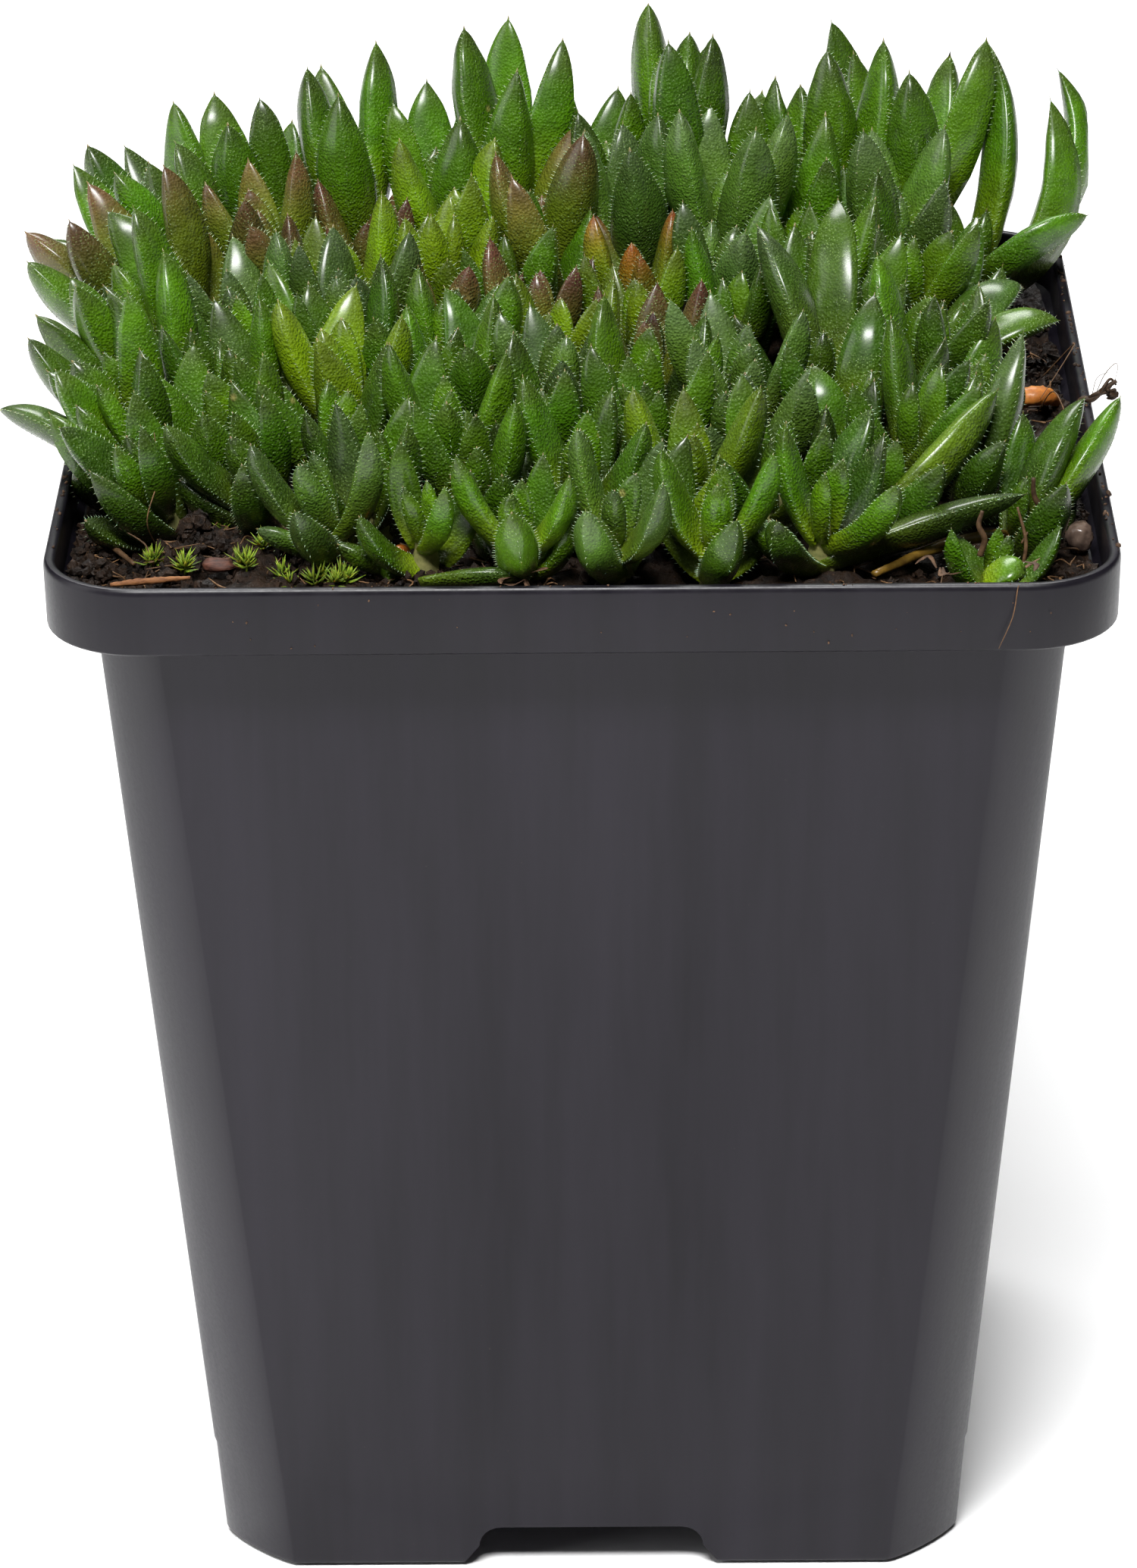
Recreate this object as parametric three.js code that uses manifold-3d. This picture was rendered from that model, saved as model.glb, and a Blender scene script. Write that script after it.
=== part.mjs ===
// Potted ice plant: a dense mat of short leafy shoots in a square plastic nursery pot.
// Millimetres, +Z up, origin at the middle of the pot's underside, front of the pot towards -Y.

import * as THREE from 'three';
import { mergeVertices } from 'three/addons/utils/BufferGeometryUtils.js';
import Module from 'manifold-3d';

const wasm = await Module();
wasm.setup();

// Pot sizes
const POT_HEIGHT = 100;
const RIM_HALF = 45;
const RIM_BAND = 6;
const BODY_TOP_HALF = 40.95;
const BASE_HALF = 33.2;
const WALL = 1.1;
const LEDGE = 1.3;
const FOOT_BAND = 10;
const FOOT_STEP = 0.35;
const CORNER_STEPS = 4;
const RIM_CORNER = 8.3;
const BODY_CORNER_TOP = 5.6;
const BODY_CORNER_BASE = 6.5;
const ARC = 2;
const CHAMFER = 1.25;
const EDGE = 0.5;
const EDGE_RISE = 0.6;
const BAND_SLOPE = 0.3;
const RIM_EASE = 0.35;
const LEDGE_SLOPE = 0.6;
const LEDGE_RISE = 0.7;
const LEDGE_DROP = 0.15;
const RIM_DRAFT = 0.1;
const RIM_FLARE = 0.4;
const NECK = 0.8;
const NOTCH_START = 1;
const NOTCH_HEIGHT = 4;
const NOTCH_HALF_TOP = 10.1;
const NOTCH_HALF_BASE = 11.6;
const NOTCH_ROUND = 2;
const NOTCH_DEPTH = 9;
const NOTCH_LEAN = 0.2;
const NOTCH_REACH = 4;
const DRAIN_RADIUS = 2.2;
const DRAIN_INSET = 1.5;
const DRAIN_LENGTH = 6;

// Clearance between pieces that rest in each other
const GAP = 0.3;

// Soil
const SOIL_LEVEL = 95.4;
const SOIL_CELL = 10;
const SOIL_BUMPS = [
  // x, y, height, radius
  [-30, -33, 3.0, 9],
  [-14, -41, 1.8, 9],
  [-43, -30, -2.0, 6],
  [2, -36, 1.6, 14],
  [44, -30, -4.6, 9],
  [43, -6, -5.2, 9],
  [43, 14, -4.0, 8],
  [20, -42, 1.2, 9],
  [-4, 8, 1.0, 20],
];

// Stems
const STEM_RADIUS = 1.25;
const STEM_FLARE = 1.1;
const STEM_SIDES = 4;
const ROOT_DEPTH = 2.6;
const HOLE_CLEAR = 6;
const BRANCH_RADIUS = 0.95;
const BRANCH_RISE = 1.7;
const BRANCH_SIDES = 3;
const SHORTEST_STEM = 0.8;

// Heads of leaves
const PAIR_STEP = 2.1;
const FIRST_PAIR = 1.1;
const TALL_LEAF = 14;
const TALL_LIFT = 0.45;
const GROWTH = [1, 0.94, 0.76];
const CLOSING = 0.3;
const DRIFT_HEIGHT = 12;

// Leaf sizes: width and depth are shares of length and width
const LEAF_WIDTH = 0.3;
const BROADEST = 5.2;
const LEAF_DEPTH = 0.62;
const MARGIN_RISE = 0.36;
const ROOT_OFFSET = 0.45;
const ROOT_WIDTH = 0.42;
const WIDEST = 0.4;
const TIP_TAPER = 2.2;
const TIP_ROUND = 0.9;
const LEAF_RINGS = [0, 0.42, 0.78];
const INNER_RINGS = [0, 0.5];
const BOW_PLACE = 0.5;
const BOW_SPREAD = 1.7;
const BOW_OPEN = 0.15;

// How much leaves of one kind differ: degrees of turn and spread, share of length
const LEAF_SEED = 11;
const TURN_PLAY = 16;
const SPREAD_PLAY = 7;
const SPREAD_SHIFT = 0.3;
const SHORTEST = 0.9;
const LENGTH_PLAY = 0.16;

// Litter on the soil
const ORANGE_BEAD = [-15.2, -33.6, 97.2, 0.95, 2.2];
const BROWN_BEAD = [42.2, -27.4, 95.7, 1.25, 2.9];
const CHIP_PLACE = [-30.3, -36.6];
const CHIP_SIZE = [2.9, 1.9, 1.2];
const CHIP_TURN = -0.15;
const TWIG = [[-39.3, -39, 97], [-36, -39.7, 97.6], [-32.6, -39.7, 98.1]];
const TWIG_RADII = [0.45, 0.5, 0.4];
const DEAD_LEAF = [[37.2, 5.8, 95.2], [38, 4, 97.2], [39.6, 2.6, 98.7], [41.3, 3, 98.6], [42.4, 4.4, 97.4]];
const DEAD_LEAF_RADII = [0.7, 1.0, 1.0, 0.9, 0.6];

// Bare old stem of one shoot that lies over the soil at the front: places and thickness
const RUNNER_SHOOT = 49;
const RUNNER = [[37, -26, 95], [35.6, -27, 97.2], [30.1, -30.7, 97.7], [24.4, -36.9, 97.8]];
const RUNNER_RADII = [0.7, 0.65, 0.62, 0.55];

// How crowded leaves find room: rounds of pushing, the room kept between shoots, the places along
// a leaf that are felt, and how far a leaf gives way
const SETTLE_ROUNDS = 170;
const NEAR_ROUNDS = 10;
const NEAR_ROOM = 3;
const SETTLE_GAP = 0.34;
const SAMPLES = [0.16, 0.28, 0.4, 0.52, 0.64, 0.76, 0.87, 0.97];
const LEAF_MIDDLE = 0.55;
const ROOTED_PART = 0.45;
const KEEL_BALL = 0.31;
const KEEL_DROP = 0.1;
const MARGIN_BALL = 0.2;
const MARGIN_PLACE = 0.28;
const MARGIN_BALL_RISE = 0.08;
const LEAF_GIVE = 0.3;
const WALL_GIVE = 0.12;
const WALL_ROOM = 0.3;
const RIM_ROOM = 0.2;
const SOIL_ROOM = 0.5;
const OVER_RIM = 1.5;
const STIFFEST = 0.16;
const BOW_STEP = 0.8;
const TIP_STEP = 1.2;
const BOW_SLACK = 1.24;
const SPRING = 0.012;

const COLOURS = {
  plastic: 0x3d3b3f,
  peat: 0x2b211c,
  green: 0x4f8a2e,
  blue: 0x5c8a5c,
  yellow: 0x86a82a,
  olive: 0x7c7f3c,
  red: 0x8a5a3a,
  straw: 0x8c7434,
  rust: 0xa85a1e,
  bark: 0x6a4230,
};

// One row for each head of leaves: shoot number, place of its foot, drift of its axis over 12 mm,
// leaf length, pairs of leaves, opening angle of the lowest pair, turn of that pair and tone.
// Heads with the same shoot number branch from one root.
const HEADS = [
  // back edge
  [1, -36.5, 36, -5, 2, 16.5, 2, 24, 110, 'green'],
  [1, -37.5, 28, -6, 0.5, 16.5, 2, 24, 30, 'green'],
  [2, -29, 37.5, -2, 2, 17, 2, 20, 70, 'green'],
  [2, -28.5, 29, -1.5, 0.5, 15, 2, 24, 100, 'olive'],
  [3, -21, 37.5, -0.5, 1.5, 20, 2, 14, 95, 'green'],
  [3, -19.5, 29, -0.5, 0, 14, 2, 28, 60, 'red'],
  [4, -13.5, 37.5, 0, 1.5, 18, 2, 20, 110, 'green'],
  [4, -11, 29.5, 0, 0, 16.5, 2, 24, 100, 'yellow'],
  [5, -6.5, 37.5, 0, 1.5, 21.5, 2, 12, 85, 'green'],
  [6, 1, 37.5, 0, 1.5, 18, 2, 16, 75, 'green'],
  [7, 9.5, 37.5, 0, 1.5, 22, 3, 13, 65, 'green'],
  [7, 13, 29, 0.5, 0, 19, 2, 20, 105, 'blue'],
  [8, 17.5, 37.5, 0, 1.5, 18, 2, 24, 120, 'green'],
  [8, 20.5, 29, 0, 0, 15.5, 2, 26, 40, 'green'],
  [9, 23.5, 37.5, -0.5, 1.5, 21, 2, 15, 10, 'green'],
  [10, 30.5, 37, 0.5, 2, 20.5, 2, 18, 70, 'green'],
  [10, 28, 28, 1, 0, 17, 2, 22, 115, 'blue'],
  [11, 35, 31, 1, 0.5, 15, 0, 24, 150, 'green'],
  // behind the middle
  [12, -3.5, 28.5, -0.5, 0, 17, 2, 22, 75, 'olive'],
  [12, -5, 20, -0.5, 0, 13.5, 2, 28, 30, 'green'],
  [13, 4.5, 29.5, 0, 0, 18, 2, 18, 95, 'blue'],
  [13, 4.5, 20.5, 0, 0, 12.5, 2, 26, 95, 'rust'],
  [14, -37.5, 18.5, -6, 0, 17, 2, 24, 15, 'olive'],
  [15, -29.5, 20, -2, 0, 14, 2, 28, 55, 'olive'],
  [16, -21, 20, -1, 0, 13.5, 2, 30, 115, 'yellow'],
  [17, -13, 20.5, 0, 0, 13, 3, 26, 80, 'yellow'],
  [17, -12.5, 11.5, 0, 0, 12, 2, 34, 35, 'red'],
  [18, 12.5, 19.5, 0, 0, 15, 2, 28, 125, 'blue'],
  [18, 13, 10.5, 0, 0, 13.5, 2, 30, 60, 'green'],
  [19, 21.5, 19.5, 0.5, 0, 14.5, 2, 28, 85, 'green'],
  [20, 29.5, 19.5, 2, 0, 15.5, 2, 30, 50, 'green'],
  [20, 31.5, 11, 3, 0, 13.5, 1, 34, 60, 'green'],
  // the middle
  [21, -37.5, 9, -6, 0, 16.5, 2, 26, 75, 'green'],
  [21, -37.5, 0.5, -6, 0, 15.5, 2, 26, 20, 'green'],
  [22, -29.5, 11, -2, 0, 14, 2, 28, 110, 'blue'],
  [23, -21, 10.5, -0.5, 0, 14.5, 2, 26, 95, 'blue'],
  [24, -4, 11, 0, 0, 12, 2, 30, 70, 'red'],
  [24, -11.5, 2.5, 0, 0, 13.5, 2, 30, 80, 'green'],
  [25, 4.5, 11, 0, 0, 12, 2, 28, 100, 'yellow'],
  [25, 6, 2, 0, 0, 12.5, 2, 32, 85, 'red'],
  [26, 22.5, 11, 1, 0, 14.5, 2, 32, 130, 'green'],
  [27, -29.5, 2, -2.5, 0, 14.5, 2, 28, 60, 'green'],
  [27, -29.5, -7, -2.5, 0, 14.5, 2, 28, 105, 'green'],
  [28, -20.5, 1.5, -1, 0, 14, 2, 28, 115, 'green'],
  [28, -11.5, -7, 0, 0, 14.5, 2, 28, 95, 'green'],
  [29, -2.5, 2, 0, 0, 13, 2, 30, 45, 'yellow'],
  [29, -2.5, -7.5, 0, 0, 14, 2, 30, 110, 'blue'],
  [30, 21, 3, -0.5, 0.5, 14, 1, 34, 10, 'green'],
  [30, 14, -7.5, 0, -0.5, 14.5, 2, 30, 100, 'blue'],
  [31, 28.5, 3, 2, 0, 14.5, 2, 32, 65, 'green'],
  [31, 32.5, -5.5, 2.5, -0.5, 14, 2, 30, 80, 'green'],
  // in front of the middle
  [32, -37.5, -8.5, -6, -0.5, 15.5, 2, 28, 70, 'green'],
  [33, -20.5, -7.5, -1, 0, 15, 2, 28, 75, 'yellow'],
  [33, -20.5, -17, -1, -1, 14, 2, 30, 120, 'green'],
  [34, 5.5, -8, 0.5, -0.5, 14.5, 2, 30, 70, 'green'],
  [34, 6, -17, 0, -1.5, 14, 2, 32, 105, 'green'],
  [35, 24, -7.5, 1, -0.5, 15, 1, 32, 10, 'green'],
  [35, 28, -15.5, 2, 0, 14, 2, 34, 40, 'green'],
  [36, -37.5, -17.5, -5, -1, 14.5, 2, 28, 60, 'green'],
  [37, -29.5, -16, -3, -1.5, 14, 2, 30, 85, 'green'],
  [38, -11.5, -16.5, 0, -1, 14.5, 2, 30, 90, 'green'],
  [38, -9, -26.5, 0, -2, 13, 2, 32, 110, 'green'],
  [39, -2.5, -17, -0.5, -1, 13.5, 2, 30, 45, 'green'],
  [40, 14, -17, 0, -1.5, 14, 2, 32, 55, 'blue'],
  [40, 20.5, -15.5, 0, -1, 13, 1, 36, 30, 'green'],
  [41, 33.5, -19.5, 2, 0, 12.5, 1, 26, 100, 'green'],
  // front
  [42, -35, -25.5, -5, -2.5, 12.5, 2, 26, 60, 'green'],
  [43, -26.5, -24.5, -4, -3, 13, 2, 28, 95, 'green'],
  [44, -17.5, -26, -0.5, -2.5, 13, 2, 32, 55, 'green'],
  [44, -20.5, -33, -2.5, -3, 12.5, 2, 32, 70, 'blue'],
  [45, 0, -27, 0, -2, 13.5, 2, 34, 70, 'green'],
  [45, 3, -37, 0, -3, 11.5, 2, 32, 55, 'blue'],
  [46, 9, -27, 0.5, -2, 14, 2, 32, 100, 'yellow'],
  [47, 16.5, -26, 0.5, -2, 13, 2, 36, 40, 'green'],
  [48, 23.5, -25, 2, -1, 13, 1, 34, 130, 'green'],
  [48, 20, -33.5, 1, -3, 12, 2, 38, 60, 'green'],
  [49, 37, -26, 3, -0.5, 12.5, 1, 26, 110, 'green'],
  [50, -13, -36.5, -0.5, -2.5, 9.5, 2, 34, 30, 'green'],
  [51, -5, -37.5, 0, -3, 11, 2, 34, 80, 'green'],
  [52, 11, -37.5, 0.5, -3, 12, 2, 32, 100, 'green'],
  [53, 34.5, -36, 1, -1, 8, 1, 36, 20, 'green'],
];

// Leaves that stand out, one row each: shoot number, head of that shoot, middle and tip of the
// leaf's bow, and width
const FEATURE_LEAVES = [
  [11, 0, [41.5, 36, 110], [37.8, 42, 119.5], 4.2],
  [11, 0, [51, 34, 107], [44.2, 41.5, 117.4], 4.2],
  [11, 0, [47, 30.5, 104], [43.2, 36.5, 116.5], 5.4],
  [11, 0, [41, 29, 103.5], [47.6, 32, 105.5], 4.2],
  [20, 1, [36, 12, 103], [43, 13, 102.5], 3.9],
  [20, 1, [35, 16, 103], [39.8, 19.5, 103], 4.6],
  [36, 0, [-43, -16, 104], [-50.3, -13, 104.5], 3.6],
  [49, 0, [40, -25, 102], [43.4, -20, 107], 4.4],
  [49, 0, [42.5, -24, 103], [46, -19, 107], 3.6],
  [41, 0, [36.5, -20.5, 104], [38, -15, 111.5], 3.8],
  [48, 0, [29, -26.5, 101], [35.5, -19.5, 108], 4.6],
  [48, 1, [29, -33.6, 101], [37.6, -29.5, 102.2], 3.8],
  [30, 0, [19.5, 3, 107], [15.5, 9, 113], 4.8],
  [30, 0, [22.5, 5, 107], [22.7, 13, 114], 4.8],
  [35, 0, [25, -8.5, 105], [25.7, -3, 111], 5.3],
  [40, 1, [19.5, -17, 103.5], [18.8, -14, 108], 4.8],
];

function shootName(number) {
  return `shoot_${String(number).padStart(2, '0')}`;
}

// The same numbers at each run
function seeded(seed) {
  let state = seed;
  return () => {
    state = (state * 16807) % 2147483647;
    return state / 2147483647;
  };
}

function v3(x, y, z) {
  return new THREE.Vector3(x, y, z);
}

// A closed skin over rings of equally many points, with flat ends or a pointed one
function skin(rings, point = null) {
  const count = rings[0].length;
  const points = rings.flat();
  const faces = [];
  for (let r = 0; r + 1 < rings.length; r += 1) {
    for (let i = 0; i < count; i += 1) {
      const a = r * count + i;
      const b = r * count + ((i + 1) % count);
      faces.push([a, b, b + count], [a, b + count, a + count]);
    }
  }
  const last = (rings.length - 1) * count;
  for (let i = 1; i + 1 < count; i += 1) {
    faces.push([0, i + 1, i]);
    if (!point) faces.push([last, last + i, last + i + 1]);
  }
  if (point) {
    points.push(point);
    for (let i = 0; i < count; i += 1) {
      faces.push([last + i, last + ((i + 1) % count), points.length - 1]);
    }
  }
  return skinOf(points, faces);
}

// Triangles over points, turned so that they face outwards
function skinOf(points, faces) {
  let volume = 0;
  for (const [a, b, c] of faces) {
    volume += points[a].dot(v3(0, 0, 0).crossVectors(points[b], points[c]));
  }
  const order = volume > 0 ? faces : faces.map(([a, b, c]) => [a, c, b]);
  const geometry = new THREE.BufferGeometry();
  const numbers = points.flatMap((p) => p.toArray());
  geometry.setAttribute('position', new THREE.Float32BufferAttribute(numbers, 3));
  geometry.setIndex(order.flat());
  return geometry;
}

function solidOf(geometry) {
  const bare = geometry.clone();
  bare.deleteAttribute('normal');
  bare.deleteAttribute('uv');
  const merged = mergeVertices(bare);
  return new wasm.Manifold(new wasm.Mesh({
    numProp: 3,
    vertProperties: new Float32Array(merged.attributes.position.array),
    triVerts: new Uint32Array(merged.index.array),
  }));
}

function geometryOf(solid) {
  const mesh = solid.getMesh();
  const geometry = new THREE.BufferGeometry();
  geometry.setAttribute('position', new THREE.BufferAttribute(mesh.vertProperties, 3));
  geometry.setIndex(new THREE.BufferAttribute(mesh.triVerts, 1));
  geometry.computeVertexNormals();
  return geometry;
}

function joined(solids) {
  return solids.reduce((all, next) => all.add(next));
}

// A square outline whose corners are arcs, or soft chamfers where the power is lower
function squareRing(half, cut, power, z) {
  const ring = [];
  for (let quarter = 0; quarter < 4; quarter += 1) {
    for (let i = 0; i <= CORNER_STEPS; i += 1) {
      const angle = (i / CORNER_STEPS) * (Math.PI / 2);
      const x = half - cut + cut * Math.max(Math.cos(angle), 0) ** (2 / power);
      const y = half - cut + cut * Math.sin(angle) ** (2 / power);
      ring.push(v3(x, y, z).applyAxisAngle(v3(0, 0, 1), quarter * (Math.PI / 2)));
    }
  }
  return ring;
}

function bodyHalf(z) {
  return BASE_HALF + ((BODY_TOP_HALF - BASE_HALF) * z) / (POT_HEIGHT - RIM_BAND);
}

function bodyRing(z, inset) {
  const share = z / (POT_HEIGHT - RIM_BAND);
  const cut = BODY_CORNER_BASE + (BODY_CORNER_TOP - BODY_CORNER_BASE) * share;
  return squareRing(bodyHalf(z) - inset, cut - inset * 0.6, CHAMFER, z);
}

// The pot's hollow, or what fills it when it is drawn in by a gap
function cavity(gap, top) {
  const ledge = POT_HEIGHT - RIM_BAND + LEDGE + gap;
  const corner = RIM_CORNER - WALL;
  const inner = RIM_HALF - WALL - gap;
  return solidOf(skin([
    bodyRing(WALL + gap, WALL + gap),
    bodyRing(POT_HEIGHT - RIM_BAND, WALL + gap),
    squareRing(bodyHalf(ledge) - WALL - gap, BODY_CORNER_TOP, CHAMFER, ledge - LEDGE_DROP),
    squareRing(inner - LEDGE_SLOPE, corner, ARC, ledge),
    squareRing(inner, corner, ARC, ledge + LEDGE_RISE),
    squareRing(inner + RIM_DRAFT, corner, ARC, top),
  ]));
}

// A drain notch under the middle of one side, grown by a wall thickness where the floor rises over it
function notch(quarter, grow) {
  const half = NOTCH_HALF_TOP + grow;
  const height = NOTCH_HEIGHT + grow;
  const shape = new THREE.Shape();
  shape.moveTo(-NOTCH_HALF_BASE - grow, -NOTCH_START);
  shape.lineTo(NOTCH_HALF_BASE + grow, -NOTCH_START);
  shape.lineTo(half, height - NOTCH_ROUND);
  shape.quadraticCurveTo(half - NOTCH_LEAN, height, half - NOTCH_ROUND, height);
  shape.lineTo(NOTCH_ROUND - half, height);
  shape.quadraticCurveTo(NOTCH_LEAN - half, height, -half, height - NOTCH_ROUND);
  shape.closePath();
  const reach = NOTCH_DEPTH + grow + NOTCH_REACH;
  const geometry = new THREE.ExtrudeGeometry(shape, { depth: reach, bevelEnabled: false, curveSegments: 3 });
  geometry.rotateX(Math.PI / 2);
  geometry.translate(0, BASE_HALF - NOTCH_DEPTH - grow + reach, 0);
  geometry.rotateZ(quarter * (Math.PI / 2));
  return solidOf(geometry);
}

function drain(quarter) {
  const geometry = new THREE.CylinderGeometry(DRAIN_RADIUS, DRAIN_RADIUS, DRAIN_LENGTH, 8);
  geometry.rotateX(Math.PI / 2);
  geometry.translate(0, BASE_HALF - NOTCH_DEPTH + DRAIN_RADIUS + DRAIN_INSET, NOTCH_HEIGHT);
  geometry.rotateZ(quarter * (Math.PI / 2));
  return solidOf(geometry);
}

const QUARTERS = [0, 1, 2, 3];

function potSolid() {
  const rimFoot = POT_HEIGHT - RIM_BAND;
  const outer = solidOf(skin([
    bodyRing(0, EDGE),
    bodyRing(EDGE_RISE, 0),
    bodyRing(FOOT_BAND - BAND_SLOPE, FOOT_STEP),
    bodyRing(FOOT_BAND + BAND_SLOPE, 0),
    bodyRing(rimFoot - NECK, 0),
    squareRing(BODY_TOP_HALF + EDGE, BODY_CORNER_TOP + RIM_DRAFT, CHAMFER, rimFoot),
    squareRing(RIM_HALF - EDGE, RIM_CORNER - EDGE, ARC, rimFoot),
    squareRing(RIM_HALF - RIM_DRAFT, RIM_CORNER, ARC, rimFoot + RIM_FLARE),
    squareRing(RIM_HALF, RIM_CORNER, ARC, POT_HEIGHT - EDGE_RISE),
    squareRing(RIM_HALF - RIM_EASE, RIM_CORNER - RIM_EASE, ARC, POT_HEIGHT),
  ]));
  const humps = joined(QUARTERS.map((quarter) => notch(quarter, WALL)));
  const hollow = cavity(0, POT_HEIGHT + 1).subtract(humps);
  const notches = joined(QUARTERS.map((quarter) => notch(quarter, 0)));
  const drains = joined(QUARTERS.map(drain));
  return outer.subtract(hollow).subtract(notches).subtract(drains);
}

// Height of the soil: a level bed with hand-placed mounds and hollows
function soilTop(x, y) {
  let z = SOIL_LEVEL;
  for (const [bx, by, height, radius] of SOIL_BUMPS) {
    z += height * Math.exp(-((x - bx) ** 2 + (y - by) ** 2) / (radius * radius));
  }
  return z;
}

function headAxis(row) {
  return v3(row[3], row[4], DRIFT_HEIGHT).normalize();
}

// The foot of a head's leaves, raised where the leaves are long
function headFoot(row) {
  const lift = Math.max(0, row[5] - TALL_LEAF) * TALL_LIFT;
  return v3(row[1], row[2], soilTop(row[1], row[2]) + FIRST_PAIR + lift);
}

// A leaf that can be pushed about but not stretched
function makeLeaf(shoot, base, mid, tip, width, face) {
  return {
    shoot, base, mid, tip, width, face,
    restMid: mid.clone(),
    restTip: tip.clone(),
    bow: BOW_SLACK * base.distanceTo(mid),
    reach: base.distanceTo(tip),
  };
}

function rowsOf(shoot) {
  return HEADS.filter((row) => row[0] === shoot);
}

// A leaf given by its bow and its tip
function featureLeaf([shoot, head, middle, end, width]) {
  const base = headFoot(rowsOf(shoot)[head]);
  const mid = v3(...middle);
  const tip = v3(...end);
  const out = mid.clone().sub(base).setZ(0).normalize();
  const lean = Math.atan2(Math.hypot(tip.x - base.x, tip.y - base.y), tip.z - base.z);
  const face = v3(0, 0, Math.sin(lean)).addScaledVector(out, -Math.cos(lean));
  return makeLeaf(shoot, base, mid, tip, width, face);
}

// The leaves of one head, in crossed pairs up its axis
function headLeaves(row, random) {
  const [shoot, , , , , long, pairs, opening, turn] = row;
  const axis = headAxis(row);
  const foot = headFoot(row);
  const leaves = [];
  for (let pair = 0; pair < pairs; pair += 1) {
    const base = foot.clone().addScaledVector(axis, pair * PAIR_STEP);
    const growth = GROWTH[pair];
    for (let side = 0; side < 2; side += 1) {
      const turned = turn + 90 * pair + 180 * side + TURN_PLAY * (random() - 0.5);
      const azimuth = THREE.MathUtils.degToRad(turned);
      const open = opening * (1 - CLOSING * pair) + SPREAD_PLAY * (random() - SPREAD_SHIFT);
      const spread = THREE.MathUtils.degToRad(open);
      const length = long * growth * (SHORTEST + LENGTH_PLAY * random());
      const out = v3(Math.cos(azimuth), Math.sin(azimuth), 0);
      out.addScaledVector(axis, -out.dot(axis)).normalize();
      leaves.push({ ...leafAt(shoot, base, axis, out, spread, length), inner: pair > 0 });
    }
  }
  return leaves;
}

// A leaf from its base on the axis, bowed outwards and then up
function leafAt(shoot, base, axis, out, spread, length) {
  const along = (angle) => axis.clone().multiplyScalar(Math.cos(angle))
    .addScaledVector(out, Math.sin(angle));
  const start = base.clone().addScaledVector(out, ROOT_OFFSET);
  const mid = start.clone().addScaledVector(along(spread * BOW_SPREAD + BOW_OPEN), length * BOW_PLACE);
  const tip = start.clone().addScaledVector(along(spread), length);
  const face = axis.clone().multiplyScalar(Math.sin(spread)).addScaledVector(out, -Math.cos(spread));
  return makeLeaf(shoot, start, mid, tip, Math.min(length * LEAF_WIDTH, BROADEST), face);
}

// Width of a leaf along its length as a share of its widest place
function leafProfile(s) {
  if (s < WIDEST) return ROOT_WIDTH + (1 - ROOT_WIDTH) * Math.sin((s / WIDEST) * (Math.PI / 2));
  return (1 - ((s - WIDEST) / (1 - WIDEST)) ** TIP_TAPER) ** TIP_ROUND;
}

// Place, side vector and upper face direction at a share of a leaf's length
function leafFrame(leaf, s) {
  const a = (1 - s) * (1 - s);
  const b = 2 * s * (1 - s);
  const c = s * s;
  const centre = leaf.base.clone().multiplyScalar(a).addScaledVector(leaf.mid, b);
  centre.addScaledVector(leaf.tip, c);
  const run = leaf.mid.clone().sub(leaf.base).multiplyScalar(1 - s);
  run.addScaledVector(leaf.tip.clone().sub(leaf.mid), s).normalize();
  const up = leaf.face.clone().addScaledVector(run, -leaf.face.dot(run)).normalize();
  return { centre, up, side: v3(0, 0, 0).crossVectors(run, up) };
}

// Three-sided leaf: a flat upper face between two margins, and a keel below
function leafSolid(leaf) {
  const rings = (leaf.inner ? INNER_RINGS : LEAF_RINGS).map((s) => {
    const { centre, up, side } = leafFrame(leaf, s);
    const width = leaf.width * leafProfile(s);
    const depth = width * LEAF_DEPTH;
    return [
      centre.clone().addScaledVector(side, -width / 2).addScaledVector(up, depth * MARGIN_RISE),
      centre.clone().addScaledVector(side, width / 2).addScaledVector(up, depth * MARGIN_RISE),
      centre.clone().addScaledVector(up, depth * (MARGIN_RISE - 1)),
    ];
  });
  return solidOf(skin(rings, leaf.tip));
}

// Balls that stand for a leaf while it finds room: a row down its middle and one near each margin
function leafBalls(leaf) {
  const balls = [];
  for (const s of SAMPLES) {
    const { centre, up, side } = leafFrame(leaf, s);
    const width = leaf.width * leafProfile(s);
    const middle = centre.clone().addScaledVector(up, -KEEL_DROP * width);
    balls.push([middle.x, middle.y, middle.z, KEEL_BALL * width, s]);
    for (const sign of [-1, 1]) {
      const edge = centre.clone().addScaledVector(side, sign * MARGIN_PLACE * width);
      edge.addScaledVector(up, MARGIN_BALL_RISE * width);
      balls.push([edge.x, edge.y, edge.z, MARGIN_BALL * width, s]);
    }
  }
  return balls;
}

// Moves the bow and the tip of a leaf so that its point at s follows a push
function pushLeaf(move, s, x, y, z, share) {
  const b = 2 * s * (1 - s);
  const c = s * s;
  const q = Math.max(b * b + c * c, STIFFEST);
  for (const [target, weight] of [[move.mid, b / q], [move.tip, c / q]]) {
    target.x += x * weight * share;
    target.y += y * weight * share;
    target.z += z * weight * share;
  }
}

// How far a ball has to move to lie on the soil, inside the wall or above the rim
function wallPush(x, y, z, r) {
  const push = [0, 0, 0];
  const reach = Math.max(Math.abs(x), Math.abs(y));
  const inside = RIM_HALF - WALL - GAP - WALL_ROOM - r;
  const above = POT_HEIGHT + GAP + RIM_ROOM + r;
  if (reach > inside && z < above) {
    const across = Math.abs(x) > Math.abs(y) ? 0 : 1;
    if (above - z < (reach - inside) * OVER_RIM) {
      push[2] = above - z;
    } else {
      push[across] = Math.sign([x, y][across]) * (inside - reach);
    }
  }
  if (reach < RIM_HALF) push[2] = Math.max(push[2], soilTop(x, y) + SOIL_ROOM + r - z);
  return push;
}

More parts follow.
